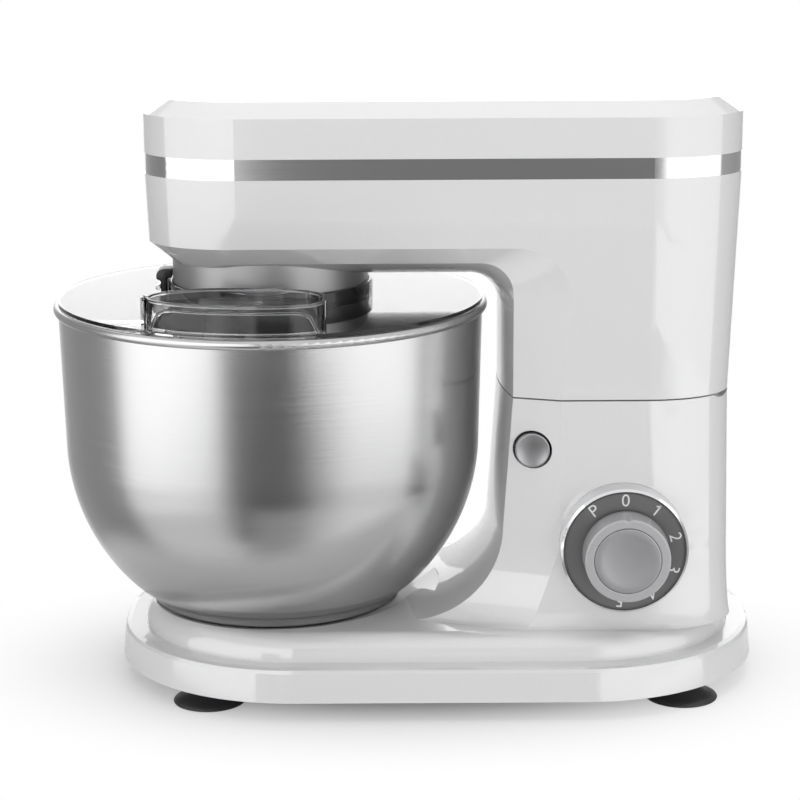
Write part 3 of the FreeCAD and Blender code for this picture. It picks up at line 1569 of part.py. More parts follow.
# Every piece has to be whole before any file is written
doc.recompute()
broken = [item.Label for item in doc.Objects if "Invalid" in item.State or "Error" in item.State]
broken += [piece.Label for piece in nodes if piece.Shape.isNull() or not piece.Shape.isValid()]
if broken:
    raise RuntimeError("failed: " + ", ".join(broken))
CUBIC_CM = 1000
os.makedirs("parts", exist_ok=True)
for piece in nodes:
    piece.Shape.exportStep(f"parts/{piece.Label}.step")
    print(piece.Label, len(piece.Shape.Solids), round(piece.Shape.Volume / CUBIC_CM, 2))
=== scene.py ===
import bpy
import bmesh
import math
from mathutils import Matrix, Vector


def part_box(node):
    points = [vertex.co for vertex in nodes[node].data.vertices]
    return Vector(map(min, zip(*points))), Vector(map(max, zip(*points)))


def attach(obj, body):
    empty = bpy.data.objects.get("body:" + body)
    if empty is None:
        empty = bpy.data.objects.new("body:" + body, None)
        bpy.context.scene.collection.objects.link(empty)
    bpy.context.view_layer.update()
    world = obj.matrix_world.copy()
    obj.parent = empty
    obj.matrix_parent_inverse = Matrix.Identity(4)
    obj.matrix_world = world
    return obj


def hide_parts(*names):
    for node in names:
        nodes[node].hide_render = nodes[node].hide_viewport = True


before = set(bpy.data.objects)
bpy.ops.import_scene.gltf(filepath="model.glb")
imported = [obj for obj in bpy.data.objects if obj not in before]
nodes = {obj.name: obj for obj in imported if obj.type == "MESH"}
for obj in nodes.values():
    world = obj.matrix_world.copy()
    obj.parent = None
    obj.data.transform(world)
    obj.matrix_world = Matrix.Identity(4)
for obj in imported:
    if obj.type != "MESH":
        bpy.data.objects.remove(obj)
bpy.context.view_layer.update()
scene = bpy.context.scene
scene.view_settings.view_transform = "Standard"

# Studio: a pale table in a white room, soft lamps for a plain level of light, and the panels
# of a photographer's set, bright left and right of the camera and grey between them, that
# the lacquer and the metals mirror. The table ends a short way in front for those mirrors.
PHOTO_PIXELS = 800
FOCAL_PIXELS = 2368
SENSOR = 36
CAMERA_PLACE = (-0.0033, -1.2733, 0.4465)
CAMERA_PITCH = 13.19
CAMERA_ROLL = -0.3


def linked(name, data):
    """A new object in the scene."""
    item = bpy.data.objects.new(name, data)
    scene.collection.objects.link(item)
    return item


camera_data = bpy.data.cameras.new("photo_camera")
camera_data.sensor_width = SENSOR
camera_data.lens = SENSOR * FOCAL_PIXELS / PHOTO_PIXELS
camera = linked("photo_camera", camera_data)
camera.matrix_world = (
    Matrix.Translation(CAMERA_PLACE)
    @ Matrix.Rotation(math.radians(90 - CAMERA_PITCH), 4, "X")
    @ Matrix.Rotation(math.radians(CAMERA_ROLL), 4, "Z")
)
scene.camera = camera


def soft_lamp(name, place, aim, width, height, radiance):
    """A rectangular lamp that lights the set without showing in it."""
    lamp = bpy.data.lights.new(name, "AREA")
    lamp.shape = "RECTANGLE"
    lamp.size = width
    lamp.size_y = height
    lamp.energy = math.pi * width * height * radiance
    holder = linked(name, lamp)
    holder.location = place
    holder.rotation_mode = "QUATERNION"
    holder.rotation_quaternion = (Vector(aim) - Vector(place)).to_track_quat("-Z", "Y")
    holder.visible_camera = False
    holder.visible_glossy = False


soft_lamp("left_lamp", place=(-1.3, -1.2, 0.5), aim=(0, 0, 0.15), width=1.5, height=0.9, radiance=1.25)
soft_lamp("right_lamp", place=(1.3, -1.2, 0.5), aim=(0, 0, 0.15), width=1.5, height=0.9, radiance=1.25)
soft_lamp("front_lamp", place=(0, -1.6, 0.16), aim=(0, 0, 0.22), width=1.6, height=0.3, radiance=3.2)
soft_lamp("overhead_lamp", place=(0, 0.3, 1.7), aim=(0, 0.1, 0), width=1.6, height=1.4, radiance=2.4)

PANEL_RING = 1.7
FLAG_RING = 0.53


def mirror_panel(name, foot, head, bearings, ring=PANEL_RING):
    """A bent upright sheet that only shows in gloss and metal. Each bearing, an angle from the
    camera's side, comes with the brightness of the sheet there."""
    glow = bpy.data.materials.new(name)
    glow.use_nodes = True
    glow.cycles.emission_sampling = "NONE"
    glow.node_tree.nodes.clear()
    level = glow.node_tree.nodes.new("ShaderNodeAttribute")
    level.attribute_name = "level"
    light = glow.node_tree.nodes.new("ShaderNodeEmission")
    glow.node_tree.links.new(level.outputs["Fac"], light.inputs["Strength"])
    end_node = glow.node_tree.nodes.new("ShaderNodeOutputMaterial")
    glow.node_tree.links.new(light.outputs[0], end_node.inputs["Surface"])
    corners = []
    levels = []
    for angle, brightness in bearings:
        turn = math.radians(angle)
        corners += [(ring * math.sin(turn), -ring * math.cos(turn), height) for height in (foot, head)]
        levels += [brightness, brightness]
    faces = [(2 * i, 2 * i + 2, 2 * i + 3, 2 * i + 1) for i in range(len(bearings) - 1)]
    mesh = bpy.data.meshes.new(name)
    mesh.from_pydata(corners, [], faces)
    mesh.attributes.new("level", "FLOAT", "POINT").data.foreach_set("value", levels)
    mesh.materials.append(glow)
    panel = linked(name, mesh)
    panel.visible_camera = False
    panel.visible_diffuse = False
    panel.visible_shadow = False


LEFT_SCREEN = [(-150, 0.5), (-118, 0.36), (-86, 0.3)]
RIGHT_SCREEN = [(86, 0.5), (118, 0.4), (150, 0.4)]


def wide_panel(name, foot, head, bearings):
    """A panel that ends in the dim screens at the two sides of the set."""
    mirror_panel(name, foot, head, LEFT_SCREEN + bearings + RIGHT_SCREEN)


wide_panel(
    "high_panel",
    foot=-0.12,
    head=1.5,
    bearings=[
        (-83, 2), (-46, 2), (-9, 2), (-7.8, 1.2), (-6.6, 0.5), (-5.4, 0.24), (12, 0.24), (14.5, 0.5),
        (18.5, 1), (24, 1.8), (50, 1.8), (83, 1.8),
    ],
)
wide_panel(
    "column_panel",
    foot=-0.25,
    head=-0.12,
    bearings=[
        (-83, 2), (-50, 2), (-29, 2), (-24, 1.4), (-16, 0.3), (-8, 0.04), (14, 0.04), (16, 1.8), (50, 1.8),
        (83, 1.8),
    ],
)
wide_panel(
    "bowl_panel",
    foot=-0.33,
    head=-0.25,
    bearings=[
        (-83, 2), (-50, 2), (-33, 1.8), (-24, 1.1), (-14, 0.3), (-6, 0.04), (14, 0.04), (20, 0.1), (32, 1.2),
        (44, 2.2), (60, 2.2), (83, 2.2),
    ],
)
wide_panel(
    "low_panel",
    foot=-0.8,
    head=-0.33,
    bearings=[
        (-83, 1.25), (-50, 1.25), (-32, 1.1), (-22, 0.7), (-12, 0.1), (14, 0.1), (26, 0.5), (40, 1), (60, 1),
        (83, 1),
    ],
)
wide_panel(
    "floor_panel",
    foot=-3.2,
    head=-0.8,
    bearings=[(-83, 0.9), (-50, 0.9), (-30, 0.9), (-14, 0.4), (14, 0.4), (30, 0.8), (45, 1.1), (83, 1.1)],
)
mirror_panel("rear_panel", foot=0.2, head=1.5, bearings=[(150, 1.85), (180, 1.85), (210, 1.85)])
mirror_panel(
    "flag",
    foot=-0.35,
    head=0.14,
    bearings=[(-28.5, 0.2), (-23, 0.2), (-18, 0.05), (-17, 0.05)],
    ring=FLAG_RING,
)


def calculated(tree, operation, *terms):
    """One step of arithmetic in a node tree, on sockets or plain numbers."""
    node = tree.nodes.new("ShaderNodeMath")
    node.operation = operation
    for place, term in enumerate(terms):
        if isinstance(term, bpy.types.NodeSocket):
            tree.links.new(term, node.inputs[place])
        else:
            node.inputs[place].default_value = term
    return node.outputs[0]


def mixed(tree, share, first, second):
    """A blend of two shaders."""
    node = tree.nodes.new("ShaderNodeMixShader")
    for place, source in enumerate((share, first, second)):
        tree.links.new(source, node.inputs[place])
    return node.outputs[0]


def plain_sky(tree, strength):
    """A white surround of one strength."""
    node = tree.nodes.new("ShaderNodeBackground")
    node.inputs["Color"].default_value = (1, 1, 1, 1)
    node.inputs["Strength"].default_value = strength
    return node.outputs[0]


FILL_LEVEL = 0.46
BACKDROP_LEVEL = 1
world = bpy.data.worlds.new("studio")
scene.world = world
world.use_nodes = True
room = world.node_tree
room.nodes.clear()
room_ray = room.nodes.new("ShaderNodeLightPath").outputs
through = calculated(room, "MAXIMUM", room_ray["Is Glossy Ray"], room_ray["Is Transmission Ray"])
shows = calculated(room, "MAXIMUM", room_ray["Is Camera Ray"], through)
surround = mixed(room, shows, plain_sky(room, FILL_LEVEL), plain_sky(room, BACKDROP_LEVEL))
room.links.new(surround, room.nodes.new("ShaderNodeOutputWorld").inputs["Surface"])

TABLE_HALF = 6
TABLE_COLOUR = (0.86, 0.86, 0.86, 1)
TABLE_ROUGHNESS = 0.5
TABLE_GLOSS = 0.2
WHITE_OVAL = (0.27, 0.175, 1)
WHITE_FADE = (0.3, 1.05)
END_OVAL = (0.25, 0.16, 1)
END_FADE = (0.9, 1.2)
table_mesh = bpy.data.meshes.new("table")
table_mesh.from_pydata(
    [(x * TABLE_HALF, y * TABLE_HALF, 0) for x, y in ((-1, -1), (1, -1), (1, 1), (-1, 1))], [], [(0, 1, 2, 3)]
)
linked("table", table_mesh)
table_paint = bpy.data.materials.new("table_paint")
table_paint.use_nodes = True
table_mesh.materials.append(table_paint)
table_tree = table_paint.node_tree
paint = table_tree.nodes["Principled BSDF"]
paint.inputs["Base Color"].default_value = TABLE_COLOUR
paint.inputs["Roughness"].default_value = TABLE_ROUGHNESS
paint.inputs["Specular IOR Level"].default_value = TABLE_GLOSS
table_spot = table_tree.nodes.new("ShaderNodeTexCoord").outputs["Object"]
table_ray = table_tree.nodes.new("ShaderNodeLightPath").outputs


def ring_mask(oval, fade, kind):
    """0 within an oval round the mixer and 1 beyond it, for one kind of ray."""
    shrink = table_tree.nodes.new("ShaderNodeVectorMath")
    shrink.operation = "DIVIDE"
    shrink.inputs[1].default_value = oval
    table_tree.links.new(table_spot, shrink.inputs[0])
    away = table_tree.nodes.new("ShaderNodeVectorMath")
    away.operation = "LENGTH"
    table_tree.links.new(shrink.outputs[0], away.inputs[0])
    rise = table_tree.nodes.new("ShaderNodeMapRange")
    rise.interpolation_type = "SMOOTHSTEP"
    rise.inputs["From Min"].default_value, rise.inputs["From Max"].default_value = fade
    table_tree.links.new(away.outputs["Value"], rise.inputs["Value"])
    return calculated(table_tree, "MULTIPLY", rise.outputs[0], table_ray[kind])


white = table_tree.nodes.new("ShaderNodeEmission").outputs[0]
clear = table_tree.nodes.new("ShaderNodeBsdfTransparent").outputs[0]
seen = mixed(table_tree, ring_mask(WHITE_OVAL, WHITE_FADE, "Is Camera Ray"), paint.outputs[0], white)
ended = mixed(table_tree, ring_mask(END_OVAL, END_FADE, "Is Glossy Ray"), seen, clear)
table_tree.links.new(ended, table_tree.nodes["Material Output"].inputs["Surface"])

# Base housing: plate, deck and lower half of the column in one white moulding, lacquered so
# that it mirrors the room, with the very fine ripple that a lacquered moulding keeps.


def shader_group(name, inputs):
    """A shader group with its named inputs, and colour, roughness and height as outputs."""
    group = bpy.data.node_groups.new(name, "ShaderNodeTree")
    for title, kind, value in inputs:
        socket = group.interface.new_socket(name=title, in_out="INPUT", socket_type=kind)
        socket.default_value = value
    group.interface.new_socket(name="Colour", in_out="OUTPUT", socket_type="NodeSocketColor")
    group.interface.new_socket(name="Roughness", in_out="OUTPUT", socket_type="NodeSocketFloat")
    group.interface.new_socket(name="Height", in_out="OUTPUT", socket_type="NodeSocketFloat")
    return group, group.nodes.new("NodeGroupInput"), group.nodes.new("NodeGroupOutput")


NOISE_MIDDLE = 0.5


def vary(group, source, sink, pattern, patches):
    """Let a fine pattern sway the colour and raise the skin, and wide patches sway the roughness."""
    rough = group.nodes.new("ShaderNodeMapRange")
    group.links.new(patches, rough.inputs["Value"])
    group.links.new(source.outputs["Low Roughness"], rough.inputs["To Min"])
    group.links.new(source.outputs["High Roughness"], rough.inputs["To Max"])
    shade = calculated(group, "SUBTRACT", pattern, NOISE_MIDDLE)
    sway = calculated(group, "MULTIPLY_ADD", shade, source.outputs["Shift"], 1)
    tint = group.nodes.new("ShaderNodeVectorMath")
    tint.operation = "SCALE"
    group.links.new(source.outputs["Colour"], tint.inputs[0])
    group.links.new(sway, tint.inputs["Scale"])
    group.links.new(tint.outputs[0], sink.inputs["Colour"])
    group.links.new(rough.outputs[0], sink.inputs["Roughness"])
    group.links.new(pattern, sink.inputs["Height"])


GRAIN_SCALE = 900.0
GRAIN_DETAIL = 4
GRAIN_DEPTH = 0.0005
SMEAR_SCALE = 14
grain, grain_in, grain_out = shader_group(
    "moulded_grain",
    [
        ("Vector", "NodeSocketVector", (0, 0, 0)),
        ("Scale", "NodeSocketFloat", GRAIN_SCALE),
        ("Colour", "NodeSocketColor", (0.8, 0.8, 0.8, 1)),
        ("Shift", "NodeSocketFloat", 0.05),
        ("Low Roughness", "NodeSocketFloat", 0.2),
        ("High Roughness", "NodeSocketFloat", 0.4),
    ],
)
fine = grain.nodes.new("ShaderNodeTexNoise")
fine.inputs["Detail"].default_value = GRAIN_DETAIL
grain.links.new(grain_in.outputs["Vector"], fine.inputs["Vector"])
grain.links.new(grain_in.outputs["Scale"], fine.inputs["Scale"])
smear = grain.nodes.new("ShaderNodeTexNoise")
smear.inputs["Scale"].default_value = SMEAR_SCALE
grain.links.new(grain_in.outputs["Vector"], smear.inputs["Vector"])
vary(grain, grain_in, grain_out, fine.outputs["Fac"], smear.outputs["Fac"])


def finish_of(name, group, inputs, bump, depth, sockets):
    """A material whose colour, roughness and bump come from one of the groups."""
    material = bpy.data.materials.new(name)
    material.use_nodes = True
    tree = material.node_tree
    shader = tree.nodes["Principled BSDF"]
    place = tree.nodes.new("ShaderNodeTexCoord")
    skin = tree.nodes.new("ShaderNodeGroup")
    skin.node_tree = group
    for title, value in inputs.items():
        skin.inputs[title].default_value = value
    tree.links.new(place.outputs["Object"], skin.inputs["Vector"])
    tree.links.new(skin.outputs["Colour"], shader.inputs["Base Color"])
    tree.links.new(skin.outputs["Roughness"], shader.inputs["Roughness"])
    ripple = tree.nodes.new("ShaderNodeBump")
    ripple.inputs["Strength"].default_value = bump
    ripple.inputs["Distance"].default_value = depth
    tree.links.new(skin.outputs["Height"], ripple.inputs["Height"])
    tree.links.new(ripple.outputs["Normal"], shader.inputs["Normal"])
    for title, value in sockets.items():
        shader.inputs[title].default_value = value
    return material


def moulded(name, colour, roughness, scale=GRAIN_SCALE, shift=0.05, bump=0.02, sockets=None):
    """A plastic or rubber finish with fine grain. Its roughness lies between two values."""
    inputs = {
        "Scale": scale,
        "Colour": (*colour, 1),
        "Shift": shift,
        "Low Roughness": roughness[0],
        "High Roughness": roughness[1],
    }
    return finish_of(name, grain, inputs, bump, GRAIN_DEPTH, sockets or {})


def dress(material, *names):
    """Give CAD nodes their finish."""
    for name in names:
        mesh = nodes[name].data
        mesh.materials.clear()
        mesh.materials.append(material)


body_white = moulded(
    "body_white",
    colour=(0.72, 0.72, 0.725),
    roughness=(0.3, 0.38),
    bump=0.01,
    sockets={"Coat Weight": 1.0, "Coat Roughness": 0.03, "Coat IOR": 1.7},
)
dress(body_white, "base_housing")

# Bottom cover with its vents, six steel screws and the bush for the lead: plain parts under
# and behind the base. The cover is unlacquered plastic, the bush is black rubber.
pale_plastic = moulded("pale_plastic", colour=(0.72, 0.72, 0.72), roughness=(0.4, 0.55), shift=0.06)
dress(pale_plastic, "bottom_cover")
black_rubber = moulded("black_rubber", colour=(0.022, 0.022, 0.024), roughness=(0.3, 0.5), shift=0.3)
dress(black_rubber, "cord_gland")
LINE_DETAIL = 5
LINE_DEPTH = 0.0002
brush, brush_in, brush_out = shader_group(
    "brush_lines",
    [
        ("Vector", "NodeSocketVector", (0, 0, 0)),
        ("Stretch", "NodeSocketVector", (1, 1, 1)),
        ("Colour", "NodeSocketColor", (0.7, 0.7, 0.7, 1)),
        ("Shift", "NodeSocketFloat", 0.1),
        ("Low Roughness", "NodeSocketFloat", 0.2),
        ("High Roughness", "NodeSocketFloat", 0.35),
    ],
)
stretched = brush.nodes.new("ShaderNodeVectorMath")
stretched.operation = "MULTIPLY"
brush.links.new(brush_in.outputs["Vector"], stretched.inputs[0])
brush.links.new(brush_in.outputs["Stretch"], stretched.inputs[1])
lines = brush.nodes.new("ShaderNodeTexNoise")
lines.inputs["Scale"].default_value = 1
lines.inputs["Detail"].default_value = LINE_DETAIL
brush.links.new(stretched.outputs[0], lines.inputs["Vector"])
vary(brush, brush_in, brush_out, lines.outputs["Fac"], lines.outputs["Fac"])


def metal(name, colour, roughness, stretch, shift=0.12, bump=0.05, sockets=None):
    """A metal finish with brush or turning lines, fine across the directions that are stretched."""
    inputs = {
        "Stretch": stretch,
        "Colour": (*colour, 1),
        "Shift": shift,
        "Low Roughness": roughness[0],
        "High Roughness": roughness[1],
    }
    return finish_of(name, brush, inputs, bump, LINE_DEPTH, {"Metallic": 1.0, **(sockets or {})})


shaft_steel = metal(
    "shaft_steel",
    colour=(0.6, 0.6, 0.62),
    roughness=(0.25, 0.4),
    stretch=(400, 400, 1500),
)
dress(shaft_steel, "cover_screws")

# Suction feet: four rubber cups, each moulded in one piece with a hollow face, a thin rim
# that bends, and a neck that is pushed into the bottom cover.


def circle(radius, steps):
    """The points of a circle round the origin of a plan."""
    angles = [2 * math.pi * step / steps for step in range(steps)]
    return [Vector((radius * math.cos(angle), radius * math.sin(angle))) for angle in angles]


def mesh_of(name, shape):
    """Keep a worked shape as a mesh."""
    mesh = bpy.data.meshes.new(name)
    shape.to_mesh(mesh)
    shape.free()
    return mesh


def lathe(name, profile, steps, turn=Matrix()):
    """A closed mesh turned from a profile of radius and height, both in metres."""
    shape = bmesh.new()
    rings = []
    for radius, height in profile:
        ring = circle(radius, steps) if radius > 0 else [Vector((0, 0))]
        rings.append([shape.verts.new((point.x, point.y, height)) for point in ring])
    pairs = list(zip(rings, rings[1:]))
    if profile[0][0] > 0:
        pairs.append((rings[-1], rings[0]))
    for lower, upper in pairs:
        for step in range(steps):
            after = (step + 1) % steps
            loop = [lower[step % len(lower)], lower[after % len(lower)]]
            loop += [upper[after % len(upper)], upper[step % len(upper)]]
            shape.faces.new(list(dict.fromkeys(loop)))
    bmesh.ops.recalc_face_normals(shape, faces=shape.faces)
    shape.transform(turn)
    mesh = mesh_of(name, shape)
    soften(mesh)
    return mesh


def soften(mesh, sharp=40):
    """Smooth shading, with the sharp edges kept."""
    mesh.polygons.foreach_set("use_smooth", [True] * len(mesh.polygons))
    mesh.set_sharp_from_angle(angle=math.radians(sharp))


METRE = 1000


def millimetres(points):
    """Points drawn in millimetres, in metres."""
    return [tuple(value / METRE for value in point) for point in points]


def geometry_tree(name, inputs):
    """A geometry tree with a mesh going in and out, its sizes by name, and its finish."""
    tree = bpy.data.node_groups.new(name, "GeometryNodeTree")
    tree.interface.new_socket(name="Geometry", in_out="INPUT", socket_type="NodeSocketGeometry")
    for title in inputs:
        tree.interface.new_socket(name=title, in_out="INPUT", socket_type="NodeSocketFloat")
    tree.interface.new_socket(name="Finish", in_out="INPUT", socket_type="NodeSocketMaterial")
    tree.interface.new_socket(name="Geometry", in_out="OUTPUT", socket_type="NodeSocketGeometry")
    return tree, tree.nodes.new("NodeGroupInput"), tree.nodes.new("NodeGroupOutput")


def coated_end(tree, source, sink, shapes):
    """End a geometry tree: its shapes are made real and get the finish."""
    real = tree.nodes.new("GeometryNodeRealizeInstances")
    tree.links.new(shapes, real.inputs[0])
    coat = tree.nodes.new("GeometryNodeSetMaterial")
    tree.links.new(real.outputs[0], coat.inputs["Geometry"])
    tree.links.new(source.outputs["Finish"], coat.inputs["Material"])
    tree.links.new(coat.outputs[0], sink.inputs["Geometry"])


def settled(maker):
    """The mesh that an object gives, after which the object goes."""
    depsgraph = bpy.context.evaluated_depsgraph_get()
    mesh = bpy.data.meshes.new_from_object(maker.evaluated_get(depsgraph))
    bpy.data.objects.remove(maker)
    return mesh


def grown(name, source, tree, values):
    """Run a tree on a mesh and keep what it gives as a plain mesh."""
    maker = linked(name, source)
    modifier = maker.modifiers.new(name, "NODES")
    modifier.node_group = tree
    for item in tree.interface.items_tree:
        if item.in_out == "INPUT" and item.name in values:
            modifier[item.identifier] = values[item.name]
    mesh = settled(maker)
    mesh.name = name
    return mesh


FEET = 4
feet_tree, feet_in, feet_out = geometry_tree("feet_at_corners", ["Front X", "Rear X", "Front Y", "Rear Y"])
corner = feet_tree.nodes.new("GeometryNodeInputIndex")
at_rear = feet_tree.nodes.new("FunctionNodeCompare")
at_rear.data_type = "INT"
at_rear.operation = "GREATER_EQUAL"
feet_tree.links.new(corner.outputs[0], at_rear.inputs[2])
at_rear.inputs[3].default_value = FEET // 2
side = calculated(feet_tree, "MODULO", corner.outputs[0], 2)
sign = calculated(feet_tree, "MULTIPLY_ADD", side, -2, 1)
choices = []
for ahead, behind in (("Front X", "Rear X"), ("Front Y", "Rear Y")):
    choice = feet_tree.nodes.new("GeometryNodeSwitch")
    choice.input_type = "FLOAT"
    feet_tree.links.new(at_rear.outputs[0], choice.inputs["Switch"])
    feet_tree.links.new(feet_in.outputs[ahead], choice.inputs["False"])
    feet_tree.links.new(feet_in.outputs[behind], choice.inputs["True"])
    choices.append(choice.outputs[0])
along, across = choices
spots = feet_tree.nodes.new("ShaderNodeCombineXYZ")
feet_tree.links.new(along, spots.inputs["X"])
feet_tree.links.new(calculated(feet_tree, "MULTIPLY", across, sign), spots.inputs["Y"])
points = feet_tree.nodes.new("GeometryNodePoints")
points.inputs["Count"].default_value = FEET
feet_tree.links.new(spots.outputs[0], points.inputs["Position"])
copies = feet_tree.nodes.new("GeometryNodeInstanceOnPoints")
feet_tree.links.new(points.outputs[0], copies.inputs["Points"])
feet_tree.links.new(feet_in.outputs["Geometry"], copies.inputs["Instance"])
coated_end(feet_tree, feet_in, feet_out, copies.outputs[0])

CUP_PROFILE = millimetres(
    [
        (0, 3.3), (8, 2.7), (13.6, 0.9), (15.4, 0.1), (16.6, 0), (18.4, 0.05), (19.2, 0.4), (19.4, 0.9),
        (19, 1.5), (16, 2.5), (12.6, 4.1), (10.3, 5.8), (9.3, 6.7), (9, 7.5), (9, 10), (0, 10),
    ]
)
CUP_STEPS = 48
FRONT_SIDE = 0.072
REAR_SIDE = 0.0695
cup_radius = max(radius for radius, height in CUP_PROFILE)
feet_low, feet_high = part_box("suction_feet")
feet_mesh = grown(
    "rubber_feet",
    lathe("rubber_cup", CUP_PROFILE, CUP_STEPS),
    feet_tree,
    {
        "Front X": feet_low[0] + cup_radius,
        "Rear X": feet_high[0] - cup_radius,
        "Front Y": FRONT_SIDE,
        "Rear Y": REAR_SIDE,
        "Finish": black_rubber,
    },
)
feet = linked("rubber_feet", feet_mesh)
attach(feet, "base")
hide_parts("suction_feet")

# Bowl seat: the bayonet cup of black nylon that the bowl is twisted into, moulded in one piece
# and screwed into the hollow of the deck.
black_nylon = moulded("black_nylon", colour=(0.02, 0.02, 0.022), roughness=(0.25, 0.4), shift=0.2)
dress(black_nylon, "bowl_seat")

# Speed control, inside: the circuit board on its posts, the switch body behind the column
# wall, and the steel spindle that the knob is pressed on.
board_green = moulded("board_green", colour=(0.05, 0.22, 0.11), roughness=(0.35, 0.5))
dress(board_green, "control_board")
dress(black_nylon, "rotary_switch")
dress(shaft_steel, "switch_spindle")

# Speed control, outside: a polished ring round a dark printed dial. The ring is pressed into
# the column, and the marks are a thick white print, one for each rest of the switch.
bezel_bright = metal(
    "bezel_bright",
    colour=(0.74, 0.74, 0.75),
    roughness=(0.08, 0.14),
    stretch=(40, 40, 40),
    shift=0.05,
    bump=0.01,
)
dress(bezel_bright, "knob_bezel")
dial_grey = moulded("dial_grey", colour=(0.14, 0.14, 0.143), roughness=(0.3, 0.4), scale=1400.0, shift=0.15)
dress(dial_grey, "dial_plate")
print_white = moulded("print_white", colour=(0.74, 0.74, 0.74), roughness=(0.4, 0.5))
DIAL_MARKS = "P012345"
MARK_STEP = 37
MARK_RING = 0.0273
MARK_SIZE = 0.0094
MARK_THIN = -0.00002
MARK_RISE = 0.0001
MARK_WELD = 0.000001
STROKE_LONG = 0.0022
STROKE_WIDE = 0.0007
STROKE_LEAN = 38
STROKE_PLACE = (-0.0008, 0.0025, 0)
dial_low, dial_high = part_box("dial_plate")
dial_x = (dial_low[0] + dial_high[0]) / 2
dial_z = (dial_low[2] + dial_high[2]) / 2
facing = Matrix.Rotation(math.radians(90), 4, "X")
marks = bmesh.new()
for index, mark in enumerate(DIAL_MARKS):
    text = bpy.data.curves.new("dial_mark", "FONT")
    text.body = mark
    text.size = MARK_SIZE
    text.align_x = "CENTER"
    text.align_y = "CENTER"
    text.offset = MARK_THIN
    text.extrude = MARK_RISE
    mesh = settled(linked("dial_mark", text))
    if mark == "1":
        stroked = bmesh.new()
        stroked.from_mesh(mesh)
        bar = bmesh.ops.create_cube(stroked, size=1)["verts"]
        lean = Matrix.Rotation(math.radians(STROKE_LEAN), 4, "Z")
        width = Matrix.Diagonal((STROKE_LONG, STROKE_WIDE, 2 * MARK_RISE, 1))
        bmesh.ops.transform(stroked, matrix=Matrix.Translation(STROKE_PLACE) @ lean @ width, verts=bar)
        stroked.to_mesh(mesh)
        stroked.free()
    angle = math.radians(MARK_STEP * (index - 1))
    place = (dial_x + MARK_RING * math.sin(angle), dial_low[1], dial_z + MARK_RING * math.cos(angle))
    mesh.transform(Matrix.Translation(place) @ Matrix.Rotation(angle, 4, "Y") @ facing)
    marks.from_mesh(mesh)
    bpy.data.meshes.remove(mesh)
bmesh.ops.remove_doubles(marks, verts=marks.verts, dist=MARK_WELD)


def stand(name, mesh, material, body, slot, *replaced):
    """Put a finished mesh on the mixer: its material, its body and the nodes it stands for, which are hidden.
    The slot is not used.
    """
    mesh.materials.clear()
    mesh.materials.append(material)
    piece = linked(name, mesh)
    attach(piece, body)
    if replaced:
        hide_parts(*replaced)


stand("dial_marks", mesh_of("dial_marks", marks), print_white, "base", "white_body")

# Speed knob: turned aluminium with a silver paint, a rounded front edge that is notched where
# it points, and a dished cap that is pressed into its face with a fine groove round it.
knob_silver = metal(
    "knob_silver",
    colour=(0.43, 0.43, 0.44),
    roughness=(0.36, 0.44),
    stretch=(500, 500, 500),
    shift=0.08,
    bump=0.02,
    sockets={"Metallic": 0.2, "Coat Weight": 0.6, "Coat Roughness": 0.15},
)
cap_silver = metal(
    "cap_silver",
    colour=(0.53, 0.53, 0.545),
    roughness=(0.36, 0.46),
    stretch=(500, 500, 500),
    shift=0.06,
    bump=0.02,
)
KNOB_PROFILE = millimetres(
    [
        (0, 0), (18.5, 0), (18.5, 2.4), (22.5, 2.5), (22.8, 2.9), (22.7, 6), (22.4, 16.8), (22.38, 17.2),
        (22.25, 17.65), (21.95, 17.93), (21.6, 18), (21.2, 18), (18.4, 18), (18, 18), (17.75, 17.92),
        (17.62, 17.7), (17.6, 17.3), (17.6, 15.6), (0, 15.6),
    ]
)
CAP_PROFILE = millimetres(
    [
        (0, 0), (17.3, 0), (17.4, 0.2), (17.4, 1.8), (17.2, 2.1), (16.7, 2.2), (13, 1.75), (8.5, 1.4),
        (4, 1.2), (0, 1.15),
    ]
)
KNOB_STEPS = 180
NOTCH_HALF = 5
NOTCH_INSIDE = 0.0186
NOTCH_START = 0.0125
NOTCH_RUN = 0.004
NOTCH_DEPTH = 0.0013
knob_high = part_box("speed_knob")[1]
knob_place = Matrix.Translation((dial_x, knob_high[1], dial_z)) @ facing
knob_mesh = lathe("turned_knob", KNOB_PROFILE, KNOB_STEPS, knob_place)
for vertex in knob_mesh.vertices:
    away = Vector((vertex.co.x - dial_x, vertex.co.z - dial_z))
    forward = knob_high[1] - vertex.co.y
    turn = abs(math.degrees(math.atan2(away.x, away.y)))
    if turn < NOTCH_HALF and forward > NOTCH_START and away.length > NOTCH_INSIDE:
        pull = NOTCH_DEPTH * (1 - turn / NOTCH_HALF) * min((forward - NOTCH_START) / NOTCH_RUN, 1)
        inward = away * (1 - pull / away.length)
        vertex.co.x = dial_x + inward.x
        vertex.co.z = dial_z + inward.y
stand("turned_knob", knob_mesh, knob_silver, "knob_body", "knob_metal", "speed_knob")
cap_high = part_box("knob_cap")[1]
cap_place = Matrix.Translation((dial_x, cap_high[1], dial_z)) @ facing
cap_mesh = lathe("dished_cap", CAP_PROFILE, KNOB_STEPS, cap_place)
stand("dished_cap", cap_mesh, cap_silver, "knob_body", "knob_metal", "knob_cap")

